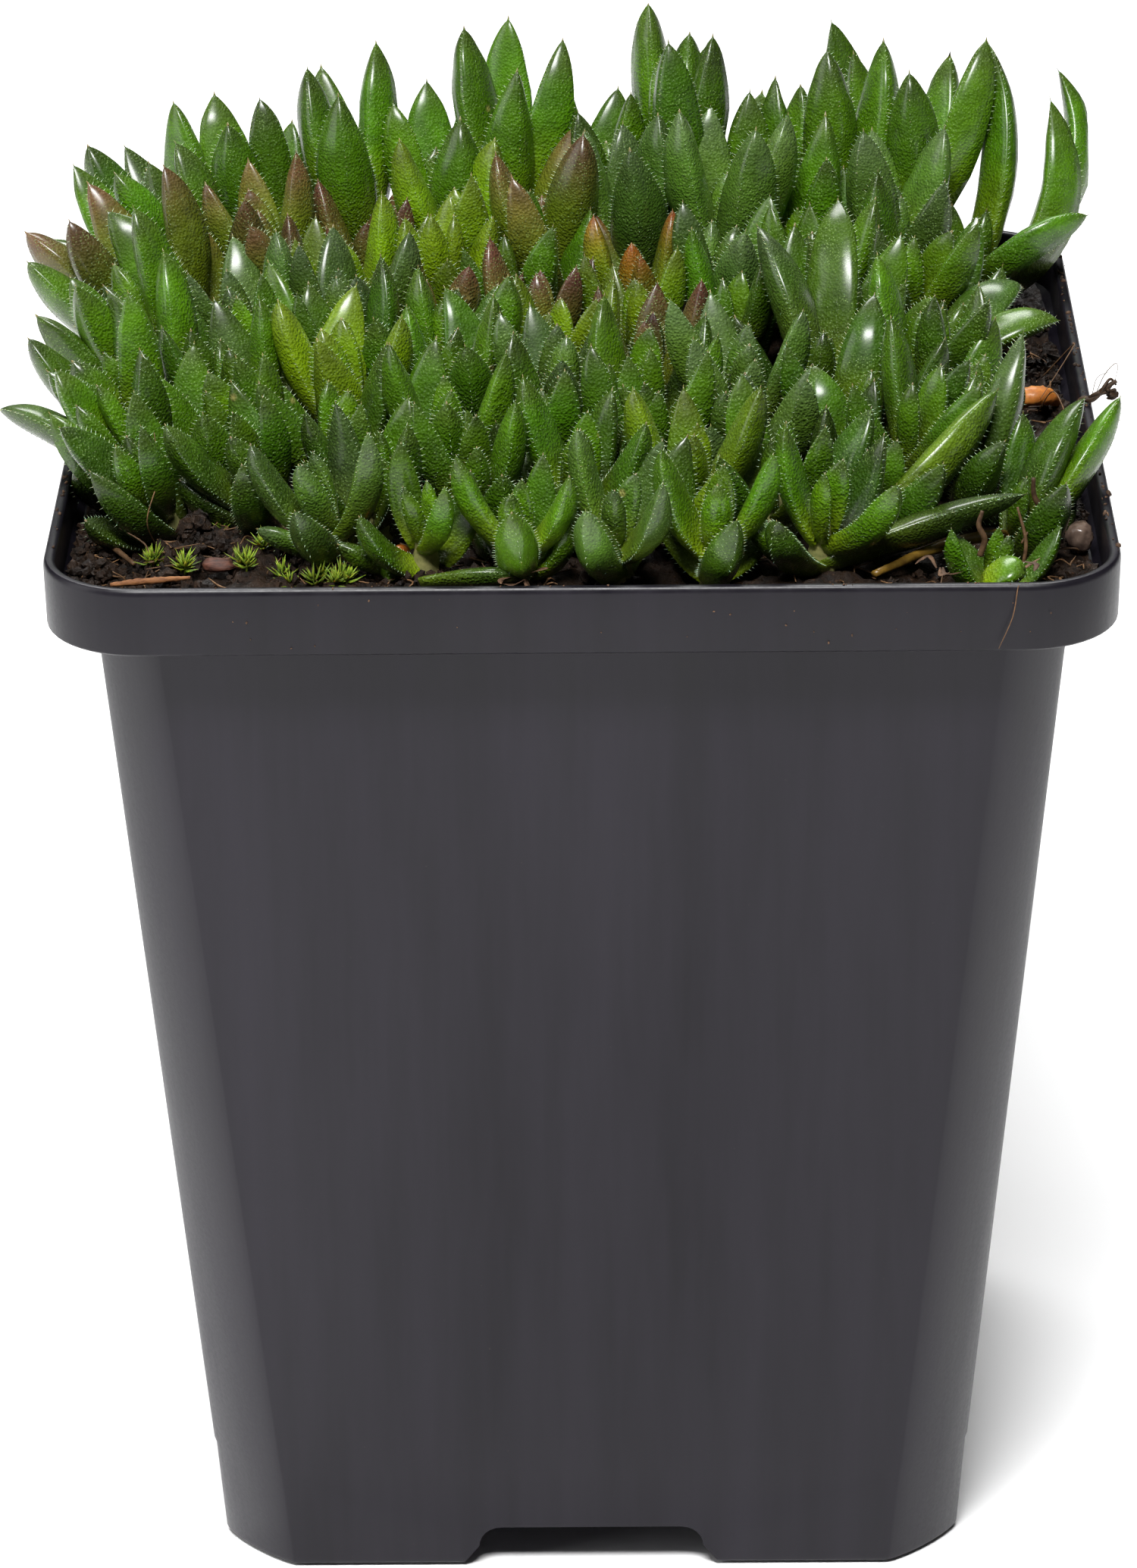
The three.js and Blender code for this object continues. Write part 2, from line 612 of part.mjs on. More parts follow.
// Leaves in a crowded pot push each other aside until each has its own room
function settle(leaves) {
  let near = [];
  for (let round = 0; round < SETTLE_ROUNDS; round += 1) {
    if (round % NEAR_ROUNDS === 0) near = nearPairs(leaves);
    const balls = leaves.map(leafBalls);
    const moves = leaves.map(() => ({ mid: v3(0, 0, 0), tip: v3(0, 0, 0) }));
    for (const [i, j] of near) {
      const hit = deepest(balls[i], balls[j], leaves[i].shoot === leaves[j].shoot);
      if (!hit) continue;
      pushLeaf(moves[i], hit.si, hit.x, hit.y, hit.z, LEAF_GIVE);
      pushLeaf(moves[j], hit.sj, hit.x, hit.y, hit.z, -LEAF_GIVE);
    }
    leaves.forEach((leaf, i) => {
      for (const [x, y, z, r, s] of balls[i]) {
        const [px, py, pz] = wallPush(x, y, z, r);
        if (px || py || pz) pushLeaf(moves[i], s, px, py, pz, WALL_GIVE);
      }
      relaxLeaf(leaf, moves[i]);
    });
  }
}

// Moves a leaf, draws it a little back to where it grew, and keeps it from stretching
function relaxLeaf(leaf, move) {
  leaf.mid.add(move.mid.clampLength(0, BOW_STEP)).lerp(leaf.restMid, SPRING);
  leaf.tip.add(move.tip.clampLength(0, TIP_STEP)).lerp(leaf.restTip, SPRING);
  const reach = leaf.tip.clone().sub(leaf.base);
  leaf.tip.copy(leaf.base).addScaledVector(reach, Math.min(1, leaf.reach / reach.length()));
  const bow = leaf.mid.clone().sub(leaf.base);
  leaf.mid.copy(leaf.base).addScaledVector(bow, Math.min(1, leaf.bow / bow.length()));
}

function nearPairs(leaves) {
  const pairs = [];
  const middles = leaves.map((leaf) => leafFrame(leaf, LEAF_MIDDLE).centre);
  for (let i = 0; i < leaves.length; i += 1) {
    for (let j = i + 1; j < leaves.length; j += 1) {
      const room = (leaves[i].reach + leaves[j].reach) / 2 + NEAR_ROOM;
      if (middles[i].distanceToSquared(middles[j]) < room * room) pairs.push([i, j]);
    }
  }
  return pairs;
}

// The deepest place where two rows of balls overlap, as the push that the first one needs
function deepest(ballsA, ballsB, sameShoot) {
  const gap = sameShoot ? 0 : SETTLE_GAP;
  let best = 0;
  let hit = null;
  for (const [ax, ay, az, ar, as] of ballsA) {
    for (const [bx, by, bz, br, bs] of ballsB) {
      if (sameShoot && as < ROOTED_PART && bs < ROOTED_PART) continue;
      const dx = ax - bx;
      const dy = ay - by;
      const dz = az - bz;
      const room = ar + br + gap;
      const square = dx * dx + dy * dy + dz * dz;
      if (square >= room * room) continue;
      const distance = Math.sqrt(square) || 0.001;
      const depth = room - distance;
      if (depth > best) {
        best = depth;
        const k = depth / distance;
        hit = { si: as, sj: bs, x: dx * k, y: dy * k, z: dz * k };
      }
    }
  }
  return hit;
}

// Points round a place, square to a direction
function ringAcross(place, run, radius, sides) {
  const level = Math.abs(run.z) < 0.9;
  const side = v3(0, 0, 0).crossVectors(run, level ? v3(0, 0, 1) : v3(0, 1, 0)).normalize();
  const up = v3(0, 0, 0).crossVectors(side, run);
  const ring = [];
  for (let i = 0; i < sides; i += 1) {
    const angle = (i / sides) * Math.PI * 2;
    ring.push(place.clone().addScaledVector(side, Math.cos(angle) * radius)
      .addScaledVector(up, Math.sin(angle) * radius));
  }
  return ring;
}

// A stem of a few flat sides through the given points
function tube(points, radii, apex = null, sides = STEM_SIDES) {
  const rings = points.map((point, k) => {
    const before = points[Math.max(k - 1, 0)];
    const after = points[Math.min(k + 1, points.length - 1)];
    return ringAcross(point, after.clone().sub(before).normalize(), radii[k], sides);
  });
  return solidOf(skin(rings, apex));
}

// The upright stem of a head: the first of a shoot is rooted, the others stand on their branch
function headStem(row, rooted) {
  const [, x, y, , , , pairs] = row;
  const ground = soilTop(x, y);
  const foot = headFoot(row);
  const top = foot.clone().addScaledVector(headAxis(row), Math.max(pairs, 1) * PAIR_STEP);
  const start = v3(x, y, rooted ? ground - ROOT_DEPTH : ground + BRANCH_RISE - BRANCH_RADIUS);
  foot.z = Math.max(foot.z, start.z + SHORTEST_STEM);
  return tube([start, foot], [STEM_RADIUS, STEM_RADIUS * STEM_FLARE], top);
}

// A branch just above the soil from a shoot's root to another of its heads
function branch(rootRow, row) {
  const ends = [rootRow, row].map(([, x, y]) => v3(x, y, soilTop(x, y) + BRANCH_RISE));
  return tube(ends, [BRANCH_RADIUS, BRANCH_RADIUS], null, BRANCH_SIDES);
}

// A bead of slow fertiliser
function bead(x, y, foot, radius, height) {
  const geometry = new THREE.IcosahedronGeometry(radius, 1);
  geometry.scale(1, 1, height / (2 * radius));
  geometry.translate(x, y, foot + height / 2);
  return solidOf(geometry);
}

// A chip of bark, thinner towards its ends
function barkChip() {
  const [x, y] = CHIP_PLACE;
  const [long, wide, thick] = CHIP_SIZE;
  const geometry = new THREE.CylinderGeometry(thick / 2, thick / 2, long, 7);
  geometry.scale(wide / thick, 1, 1);
  geometry.rotateZ(Math.PI / 2);
  geometry.rotateX(Math.PI / 2);
  geometry.rotateZ(CHIP_TURN);
  geometry.translate(x, y, soilTop(x, y) + GAP + thick / 2);
  return solidOf(geometry);
}

function litter(places, radii) {
  return tube(places.map((place) => v3(...place)), radii);
}

const random = seeded(LEAF_SEED);
const leaves = [...HEADS.flatMap((row) => headLeaves(row, random)), ...FEATURE_LEAVES.map(featureLeaf)];
settle(leaves);

const SHOOTS = [...new Set(HEADS.map((row) => row[0]))];

function shootSolid(number) {
  const [first, ...others] = rowsOf(number);
  const blades = leaves.filter((leaf) => leaf.shoot === number).map(leafSolid);
  const stems = [headStem(first, true), ...others.map((row) => headStem(row, false))];
  if (number === RUNNER_SHOOT) stems.push(litter(RUNNER, RUNNER_RADII));
  return joined([...stems, ...others.map((row) => branch(first, row)), ...blades]);
}

// Plain holes in the soil, one for each root
function rootHole(number) {
  const [[, x, y]] = rowsOf(number);
  const ground = soilTop(x, y);
  const radius = STEM_RADIUS + GAP / Math.cos(Math.PI / STEM_SIDES);
  return tube([v3(x, y, ground - ROOT_DEPTH - GAP), v3(x, y, ground + HOLE_CLEAR)], [radius, radius]);
}

function soilSolid() {
  const cells = Math.round((2 * RIM_HALF) / SOIL_CELL);
  const block = new THREE.BoxGeometry(2 * RIM_HALF, 2 * RIM_HALF, 2, cells, cells, 1);
  const position = block.attributes.position;
  for (let i = 0; i < position.count; i += 1) {
    const top = position.getZ(i) > 0;
    position.setZ(i, top ? soilTop(position.getX(i), position.getY(i)) : 0);
  }
  const humps = joined(QUARTERS.map((quarter) => notch(quarter, WALL + GAP)));
  const holes = joined(SHOOTS.map(rootHole));
  const filling = solidOf(block).intersect(cavity(GAP, POT_HEIGHT + 1)).subtract(humps).subtract(holes);
  return filling.decompose().sort((a, b) => b.volume() - a.volume())[0];
}

function piece(name, solid, colour, roughness) {
  const material = new THREE.MeshStandardMaterial({ color: COLOURS[colour], roughness, metalness: 0 });
  const mesh = new THREE.Mesh(geometryOf(solid), material);
  mesh.name = name;
  return mesh;
}

const group = new THREE.Group();
group.add(piece('pot', potSolid(), 'plastic', 0.42));
group.add(piece('soil', soilSolid(), 'peat', 0.95));
for (const number of SHOOTS) {
  const [[, , , , , , , , , tone]] = rowsOf(number);
  group.add(piece(shootName(number), shootSolid(number), tone, 0.4));
}

group.add(piece('granule_orange', bead(...ORANGE_BEAD), 'rust', 0.4));
group.add(piece('granule_brown', bead(...BROWN_BEAD), 'bark', 0.35));
group.add(piece('bark_chip', barkChip(), 'bark', 0.8));
group.add(piece('twig', litter(TWIG, TWIG_RADII), 'straw', 0.8));
group.add(piece('dead_leaf', litter(DEAD_LEAF, DEAD_LEAF_RADII), 'rust', 0.6));

export default group;
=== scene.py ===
# Potted ice plant: a mat of short fleshy leaves in peat, in a square black nursery pot.
# Lengths are millimetres, unless a comment says otherwise, and become metres where a mesh is made.

import math

import bmesh
import bpy
import numpy as np
from mathutils import Matrix, Vector


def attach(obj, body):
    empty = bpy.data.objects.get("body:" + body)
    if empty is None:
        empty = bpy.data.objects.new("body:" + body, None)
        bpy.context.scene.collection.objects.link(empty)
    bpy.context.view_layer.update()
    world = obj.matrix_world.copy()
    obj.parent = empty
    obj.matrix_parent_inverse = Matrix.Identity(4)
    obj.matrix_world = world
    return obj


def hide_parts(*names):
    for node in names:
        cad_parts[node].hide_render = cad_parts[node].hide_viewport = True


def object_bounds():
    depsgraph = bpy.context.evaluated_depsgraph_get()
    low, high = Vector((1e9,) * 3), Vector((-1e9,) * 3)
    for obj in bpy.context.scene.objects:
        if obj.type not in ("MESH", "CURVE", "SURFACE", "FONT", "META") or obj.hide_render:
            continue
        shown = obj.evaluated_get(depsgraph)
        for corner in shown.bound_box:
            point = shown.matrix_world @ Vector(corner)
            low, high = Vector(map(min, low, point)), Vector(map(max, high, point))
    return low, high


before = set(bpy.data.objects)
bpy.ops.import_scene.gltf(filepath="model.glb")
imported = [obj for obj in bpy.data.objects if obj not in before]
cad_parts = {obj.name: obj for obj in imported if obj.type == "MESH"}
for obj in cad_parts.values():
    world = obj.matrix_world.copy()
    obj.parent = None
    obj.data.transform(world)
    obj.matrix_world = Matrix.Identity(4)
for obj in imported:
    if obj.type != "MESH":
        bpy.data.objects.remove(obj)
cad_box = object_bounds()

MM = 0.001

# Nothing reaches past the box of the solids
LIMITS = np.array(cad_box)

# Pot sizes, as in the part's source, but for a smaller FOOT_STEP and more CORNER_STEPS
POT_HEIGHT = 100.0
RIM_HALF = 45.0
RIM_BAND = 6.0
BODY_TOP_HALF = 40.95
BASE_HALF = 33.2
WALL = 1.1
LEDGE = 1.3
FOOT_BAND = 10.0
FOOT_STEP = 0.12
RIM_CORNER = 8.3
BODY_CORNER_TOP = 5.6
BODY_CORNER_BASE = 6.5
ARC = 2.0
CHAMFER = 1.25
NOTCH_HEIGHT = 4.0
NOTCH_HALF_TOP = 10.1
NOTCH_HALF_BASE = 11.6
NOTCH_ROUND = 2.0
NOTCH_DEPTH = 9.0
DRAIN_RADIUS = 2.2
CORNER_STEPS = 12

# Soil, as in the part's source
GAP = 0.3
SOIL_LEVEL = 95.4
SOIL_BUMPS = [
    # x, y, height, radius
    (-30, -33, 3.0, 9),
    (-14, -41, 1.8, 9),
    (-43, -30, -2.0, 6),
    (2, -36, 1.6, 14),
    (44, -30, -4.6, 9),
    (43, -6, -5.2, 9),
    (43, 14, -4.0, 8),
    (20, -42, 1.2, 9),
    (-4, 8, 1.0, 20),
]

# Heads of leaves, as in the part's source
STEM_RADIUS = 1.25
BRANCH_RISE = 1.7
PAIR_STEP = 2.1
FIRST_PAIR = 1.1
TALL_LEAF = 14
TALL_LIFT = 0.45
GROWTH = [1, 0.94, 0.76]
CLOSING = 0.3
DRIFT_HEIGHT = 12
LEAF_WIDTH = 0.3
BROADEST = 5.2
ROOT_OFFSET = 0.45
ROOT_WIDTH = 0.42
WIDEST = 0.4
TIP_TAPER = 2.2
TIP_ROUND = 0.9
BOW_PLACE = 0.5
BOW_SPREAD = 1.7
BOW_OPEN = 0.15
LEAF_SEED = 11
TURN_PLAY = 16
SPREAD_PLAY = 7
SPREAD_SHIFT = 0.3
SHORTEST = 0.9
LENGTH_PLAY = 0.16

# How crowded leaves find room, as in the part's source
SETTLE_ROUNDS = 170
NEAR_ROUNDS = 10
NEAR_ROOM = 3
SETTLE_GAP = 0.34
SAMPLES = np.array([0.16, 0.28, 0.4, 0.52, 0.64, 0.76, 0.87, 0.97])
LEAF_MIDDLE = 0.55
ROOTED_PART = 0.45
KEEL_BALL = 0.31
KEEL_DROP = 0.1
MARGIN_BALL = 0.2
MARGIN_PLACE = 0.28
MARGIN_BALL_RISE = 0.08
LEAF_GIVE = 0.3
WALL_GIVE = 0.12
WALL_ROOM = 0.3
RIM_ROOM = 0.2
SOIL_ROOM = 0.5
OVER_RIM = 1.5
STIFFEST = 0.16
BOW_STEP = 0.8
TIP_STEP = 1.2
BOW_SLACK = 1.24
SPRING = 0.012

# One row for each head: shoot number, place of its foot, drift of its axis over 12 mm, leaf length,
# pairs of leaves, opening angle of the lowest pair, turn of that pair and tone
HEADS = [
    # back edge
    (1, -36.5, 36, -5, 2, 16.5, 2, 24, 110, "green"),
    (1, -37.5, 28, -6, 0.5, 16.5, 2, 24, 30, "green"),
    (2, -29, 37.5, -2, 2, 17, 2, 20, 70, "green"),
    (2, -28.5, 29, -1.5, 0.5, 15, 2, 24, 100, "olive"),
    (3, -21, 37.5, -0.5, 1.5, 20, 2, 14, 95, "green"),
    (3, -19.5, 29, -0.5, 0, 14, 2, 28, 60, "red"),
    (4, -13.5, 37.5, 0, 1.5, 18, 2, 20, 110, "green"),
    (4, -11, 29.5, 0, 0, 16.5, 2, 24, 100, "yellow"),
    (5, -6.5, 37.5, 0, 1.5, 21.5, 2, 12, 85, "green"),
    (6, 1, 37.5, 0, 1.5, 18, 2, 16, 75, "green"),
    (7, 9.5, 37.5, 0, 1.5, 22, 3, 13, 65, "green"),
    (7, 13, 29, 0.5, 0, 19, 2, 20, 105, "blue"),
    (8, 17.5, 37.5, 0, 1.5, 18, 2, 24, 120, "green"),
    (8, 20.5, 29, 0, 0, 15.5, 2, 26, 40, "green"),
    (9, 23.5, 37.5, -0.5, 1.5, 21, 2, 15, 10, "green"),
    (10, 30.5, 37, 0.5, 2, 20.5, 2, 18, 70, "green"),
    (10, 28, 28, 1, 0, 17, 2, 22, 115, "blue"),
    (11, 35, 31, 1, 0.5, 15, 0, 24, 150, "green"),
    # behind the middle
    (12, -3.5, 28.5, -0.5, 0, 17, 2, 22, 75, "olive"),
    (12, -5, 20, -0.5, 0, 13.5, 2, 28, 30, "green"),
    (13, 4.5, 29.5, 0, 0, 18, 2, 18, 95, "blue"),
    (13, 4.5, 20.5, 0, 0, 12.5, 2, 26, 95, "rust"),
    (14, -37.5, 18.5, -6, 0, 17, 2, 24, 15, "olive"),
    (15, -29.5, 20, -2, 0, 14, 2, 28, 55, "olive"),
    (16, -21, 20, -1, 0, 13.5, 2, 30, 115, "yellow"),
    (17, -13, 20.5, 0, 0, 13, 3, 26, 80, "yellow"),
    (17, -12.5, 11.5, 0, 0, 12, 2, 34, 35, "red"),
    (18, 12.5, 19.5, 0, 0, 15, 2, 28, 125, "blue"),
    (18, 13, 10.5, 0, 0, 13.5, 2, 30, 60, "green"),
    (19, 21.5, 19.5, 0.5, 0, 14.5, 2, 28, 85, "green"),
    (20, 29.5, 19.5, 2, 0, 15.5, 2, 30, 50, "green"),
    (20, 31.5, 11, 3, 0, 13.5, 1, 34, 60, "green"),
    # the middle
    (21, -37.5, 9, -6, 0, 16.5, 2, 26, 75, "green"),
    (21, -37.5, 0.5, -6, 0, 15.5, 2, 26, 20, "green"),
    (22, -29.5, 11, -2, 0, 14, 2, 28, 110, "blue"),
    (23, -21, 10.5, -0.5, 0, 14.5, 2, 26, 95, "blue"),
    (24, -4, 11, 0, 0, 12, 2, 30, 70, "red"),
    (24, -11.5, 2.5, 0, 0, 13.5, 2, 30, 80, "green"),
    (25, 4.5, 11, 0, 0, 12, 2, 28, 100, "yellow"),
    (25, 6, 2, 0, 0, 12.5, 2, 32, 85, "red"),
    (26, 22.5, 11, 1, 0, 14.5, 2, 32, 130, "green"),
    (27, -29.5, 2, -2.5, 0, 14.5, 2, 28, 60, "green"),
    (27, -29.5, -7, -2.5, 0, 14.5, 2, 28, 105, "green"),
    (28, -20.5, 1.5, -1, 0, 14, 2, 28, 115, "green"),
    (28, -11.5, -7, 0, 0, 14.5, 2, 28, 95, "green"),
    (29, -2.5, 2, 0, 0, 13, 2, 30, 45, "yellow"),
    (29, -2.5, -7.5, 0, 0, 14, 2, 30, 110, "blue"),
    (30, 21, 3, -0.5, 0.5, 14, 1, 34, 10, "green"),
    (30, 14, -7.5, 0, -0.5, 14.5, 2, 30, 100, "blue"),
    (31, 28.5, 3, 2, 0, 14.5, 2, 32, 65, "green"),
    (31, 32.5, -5.5, 2.5, -0.5, 14, 2, 30, 80, "green"),
    # in front of the middle
    (32, -37.5, -8.5, -6, -0.5, 15.5, 2, 28, 70, "green"),
    (33, -20.5, -7.5, -1, 0, 15, 2, 28, 75, "yellow"),
    (33, -20.5, -17, -1, -1, 14, 2, 30, 120, "green"),
    (34, 5.5, -8, 0.5, -0.5, 14.5, 2, 30, 70, "green"),
    (34, 6, -17, 0, -1.5, 14, 2, 32, 105, "green"),
    (35, 24, -7.5, 1, -0.5, 15, 1, 32, 10, "green"),
    (35, 28, -15.5, 2, 0, 14, 2, 34, 40, "green"),
    (36, -37.5, -17.5, -5, -1, 14.5, 2, 28, 60, "green"),
    (37, -29.5, -16, -3, -1.5, 14, 2, 30, 85, "green"),
    (38, -11.5, -16.5, 0, -1, 14.5, 2, 30, 90, "green"),
    (38, -9, -26.5, 0, -2, 13, 2, 32, 110, "green"),
    (39, -2.5, -17, -0.5, -1, 13.5, 2, 30, 45, "green"),
    (40, 14, -17, 0, -1.5, 14, 2, 32, 55, "blue"),
    (40, 20.5, -15.5, 0, -1, 13, 1, 36, 30, "green"),
    (41, 33.5, -19.5, 2, 0, 12.5, 1, 26, 100, "green"),
    # front
    (42, -35, -25.5, -5, -2.5, 12.5, 2, 26, 60, "green"),
    (43, -26.5, -24.5, -4, -3, 13, 2, 28, 95, "green"),
    (44, -17.5, -26, -0.5, -2.5, 13, 2, 32, 55, "green"),
    (44, -20.5, -33, -2.5, -3, 12.5, 2, 32, 70, "blue"),
    (45, 0, -27, 0, -2, 13.5, 2, 34, 70, "green"),
    (45, 3, -37, 0, -3, 11.5, 2, 32, 55, "blue"),
    (46, 9, -27, 0.5, -2, 14, 2, 32, 100, "yellow"),
    (47, 16.5, -26, 0.5, -2, 13, 2, 36, 40, "green"),
    (48, 23.5, -25, 2, -1, 13, 1, 34, 130, "green"),
    (48, 20, -33.5, 1, -3, 12, 2, 38, 60, "green"),
    (49, 37, -26, 3, -0.5, 12.5, 1, 26, 110, "green"),
    (50, -13, -36.5, -0.5, -2.5, 9.5, 2, 34, 30, "green"),
    (51, -5, -37.5, 0, -3, 11, 2, 34, 80, "green"),
    (52, 11, -37.5, 0.5, -3, 12, 2, 32, 100, "green"),
    (53, 34.5, -36, 1, -1, 8, 1, 36, 20, "green"),
]

# Leaves that stand out: shoot number, head of that shoot, middle and tip of the bow, width and tone
FEATURE_LEAVES = [
    (11, 0, (41.5, 36, 110), (37.8, 42, 119.5), 4.2, "green"),
    (11, 0, (51, 34, 107), (44.2, 41.5, 117.4), 4.2, "green"),
    (11, 0, (47, 30.5, 104), (43.2, 36.5, 116.5), 5.4, "green"),
    (11, 0, (41, 29, 103.5), (47.6, 32, 105.5), 4.2, "green"),
    (20, 1, (36, 12, 103), (43, 13, 102.5), 3.9, "green"),
    (20, 1, (35, 16, 103), (39.8, 19.5, 103), 4.6, "blue"),
    (36, 0, (-43, -16, 104), (-50.3, -13, 104.5), 3.6, "blue"),
    (49, 0, (40, -25, 102), (43.4, -20, 107), 4.4, "green"),
    (49, 0, (42.5, -24, 103), (46, -19, 107), 3.6, "green"),
    (41, 0, (36.5, -20.5, 104), (38, -15, 111.5), 3.8, "blue"),
    (48, 0, (29, -26.5, 101), (35.5, -19.5, 108), 4.6, "pale"),
    (48, 1, (29, -33.6, 101), (37.6, -29.5, 102.2), 3.8, "blue"),
    (30, 0, (19.5, 3, 107), (15.5, 9, 113), 4.8, "blue"),
    (30, 0, (22.5, 5, 107), (22.7, 13, 114), 4.8, "green"),
    (35, 0, (25, -8.5, 105), (25.7, -3, 111), 5.3, "green"),
    (40, 1, (19.5, -17, 103.5), (18.8, -14, 108), 4.8, "green"),
]

# Leaf colours at the root, along the blade and at the tip, and the share of the length where the
# tip's colour starts
TONES = {
    "green": ((0.215, 0.305, 0.004), (0.043, 0.112, 0.0003), (0.034, 0.066, 0.004), 0.80),
    "blue": ((0.145, 0.225, 0.008), (0.047, 0.100, 0.008), (0.052, 0.088, 0.024), 0.75),
    "yellow": ((0.230, 0.320, 0.004), (0.108, 0.195, 0.001), (0.070, 0.105, 0.004), 0.72),
    "olive": ((0.170, 0.240, 0.006), (0.080, 0.116, 0.003), (0.095, 0.050, 0.018), 0.62),
    "red": ((0.180, 0.240, 0.005), (0.104, 0.118, 0.005), (0.072, 0.028, 0.016), 0.42),
    "flame": ((0.220, 0.310, 0.005), (0.135, 0.205, 0.003), (0.175, 0.042, 0.008), 0.55),
    "rust": ((0.200, 0.250, 0.005), (0.215, 0.150, 0.005), (0.260, 0.066, 0.008), 0.40),
    "pale": ((0.330, 0.420, 0.014), (0.140, 0.235, 0.006), (0.050, 0.105, 0.005), 0.52),
    "dark": ((0.100, 0.160, 0.006), (0.028, 0.066, 0.003), (0.030, 0.048, 0.005), 0.80),
}

# Seeds of the random draws. A shoot's number is added to its own.
SEEDS = {
    "small leaves": 5, "crumbs": 21, "fibres": 22, "moss": 31, "twig": 41, "dead leaf": 42, "hairs": 43,
    "fallen leaves": 44, "dry scales": 45, "grains": 46, "shoots": 1000,
}


def draws(name, extra=0):
    return np.random.default_rng(SEEDS[name] + extra)


# Meshes

# A tube or cone steeper than this takes its sides from another direction.
STEEP_TUBE = 0.75
STEEP_CONE = 0.8


class Build:
    """Points, faces, colours and skins of one piece, gathered part by part."""

    def __init__(self):
        self.points = []
        self.colours = []
        self.faces = {3: [], 4: []}
        self.skins = {3: [], 4: []}
        self.count = 0

    def add(self, points, faces, colour=(1, 1, 1), skin=0):
        points = np.asarray(points, float)
        colour = np.broadcast_to(np.asarray(colour, float), points.shape)
        self.points.append(points)
        self.colours.append(colour)
        for group in faces:
            group = np.asarray(group, int)
            if len(group):
                corners = group.shape[1]
                self.faces[corners].append(group + self.count)
                self.skins[corners].append(np.full(len(group), skin))
        self.count += len(points)

    def piece(self, name, materials, smooth=True):
        mesh = bpy.data.meshes.new(name)
        points = np.clip(np.concatenate(self.points) * MM, *LIMITS)
        groups = [np.concatenate(self.faces[n]) for n in (3, 4) if self.faces[n]]
        skins = np.concatenate([np.concatenate(self.skins[n]) for n in (3, 4) if self.skins[n]])
        totals = np.concatenate([np.full(len(g), g.shape[1]) for g in groups])
        loops = np.concatenate([g.ravel() for g in groups])
        mesh.vertices.add(len(points))
        mesh.vertices.foreach_set("co", points.ravel())
        mesh.loops.add(len(loops))
        mesh.loops.foreach_set("vertex_index", loops)
        mesh.polygons.add(len(totals))
        mesh.polygons.foreach_set("loop_start", np.concatenate([[0], np.cumsum(totals)[:-1]]))
        mesh.polygons.foreach_set("loop_total", totals)
        mesh.polygons.foreach_set("material_index", skins)
        mesh.polygons.foreach_set("use_smooth", np.full(len(totals), smooth))
        tone = mesh.attributes.new("tone", "FLOAT_COLOR", "POINT")
        colours = np.concatenate(self.colours)
        tone.data.foreach_set("color", np.column_stack([colours, np.ones(len(colours))]).ravel())
        mesh.update(calc_edges=True)
        mesh.validate()
        for material in materials:
            mesh.materials.append(material)
        piece = bpy.data.objects.new(name, mesh)
        bpy.context.scene.collection.objects.link(piece)
        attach(piece, "root")
        return piece


def ring_faces(rings, around):
    """Quads between rings of points that close on themselves."""
    r, i = np.meshgrid(np.arange(rings - 1), np.arange(around), indexing="ij")
    a = (r * around + i).ravel()
    b = (r * around + (i + 1) % around).ravel()
    return np.column_stack([a, b, b + around, a + around])


def fan(first, around, point, flip=False):
    """Triangles from one ring to a point."""
    i = np.arange(around)
    a, b = first + i, first + (i + 1) % around
    return np.column_stack([b, a, np.full(around, point)] if flip else [a, b, np.full(around, point)])


def unit(vectors):
    return vectors / np.maximum(np.linalg.norm(vectors, axis=-1, keepdims=True), 1e-9)


def ease(share):
    """A soft step from 0 to 1."""
    return share * share * (3 - 2 * share)


def smooth_path(points, steps):
    """A Catmull-Rom curve through the given points."""
    points = np.asarray(points, float)
    ends = np.vstack([2 * points[0] - points[1], points, 2 * points[-1] - points[-2]])
    curve = []
    for k in range(len(points) - 1):
        p0, p1, p2, p3 = ends[k:k + 4]
        for t in np.arange(steps) / steps:
            curve.append(0.5 * (2 * p1 + (p2 - p0) * t + (2 * p0 - 5 * p1 + 4 * p2 - p3) * t ** 2
                                + (3 * p1 - p0 - 3 * p2 + p3) * t ** 3))
    curve.append(points[-1])
    return np.array(curve)


def tube(build, path, radii, colour, skin=0, around=8, squash=1.0, rough=0.0, rng=None):
    """A closed tube along a path, with its radii spread evenly along it."""
    path = np.asarray(path, float)
    n = len(path)
    radius = np.interp(np.linspace(0, 1, n), np.linspace(0, 1, len(radii)), radii)
    run = unit(np.gradient(path, axis=0))
    aim = np.array([0.0, 0.0, 1.0]) if abs(run[:, 2]).mean() < STEEP_TUBE else np.array([1.0, 0.0, 0.0])
    side = unit(np.cross(run, aim))
    up = np.cross(side, run)
    angle = np.arange(around) * 2 * math.pi / around
    ring = np.cos(angle)[None, :, None] * side[:, None] + np.sin(angle)[None, :, None] * up[:, None] * squash
    size = radius[:, None, None] * np.ones((n, around, 1))
    if rough and rng is not None:
        size = size * (1 + rough * rng.standard_normal((n, around, 1)))
    points = path[:, None] + ring * size
    points = np.vstack([points.reshape(-1, 3), path[0], path[-1]])
    caps = np.vstack([fan(0, around, n * around, True), fan((n - 1) * around, around, n * around + 1)])
    build.add(points, [ring_faces(n, around), caps], colour, skin)


# Layout of the leaves

BONES = ("base", "mid", "tip", "face")
SEED_STEP = 16807
SEED_RANGE = 2147483647


def soil_top(x, y):
    z = SOIL_LEVEL + 0.0 * np.asarray(x)
    for bump_x, bump_y, height, radius in SOIL_BUMPS:
        z = z + height * np.exp(-((x - bump_x) ** 2 + (y - bump_y) ** 2) / radius ** 2)
    return z


def seeded(seed):
    """The same numbers at each run as in the part's source."""
    state = seed
    while True:
        state = (state * SEED_STEP) % SEED_RANGE
        yield state / SEED_RANGE


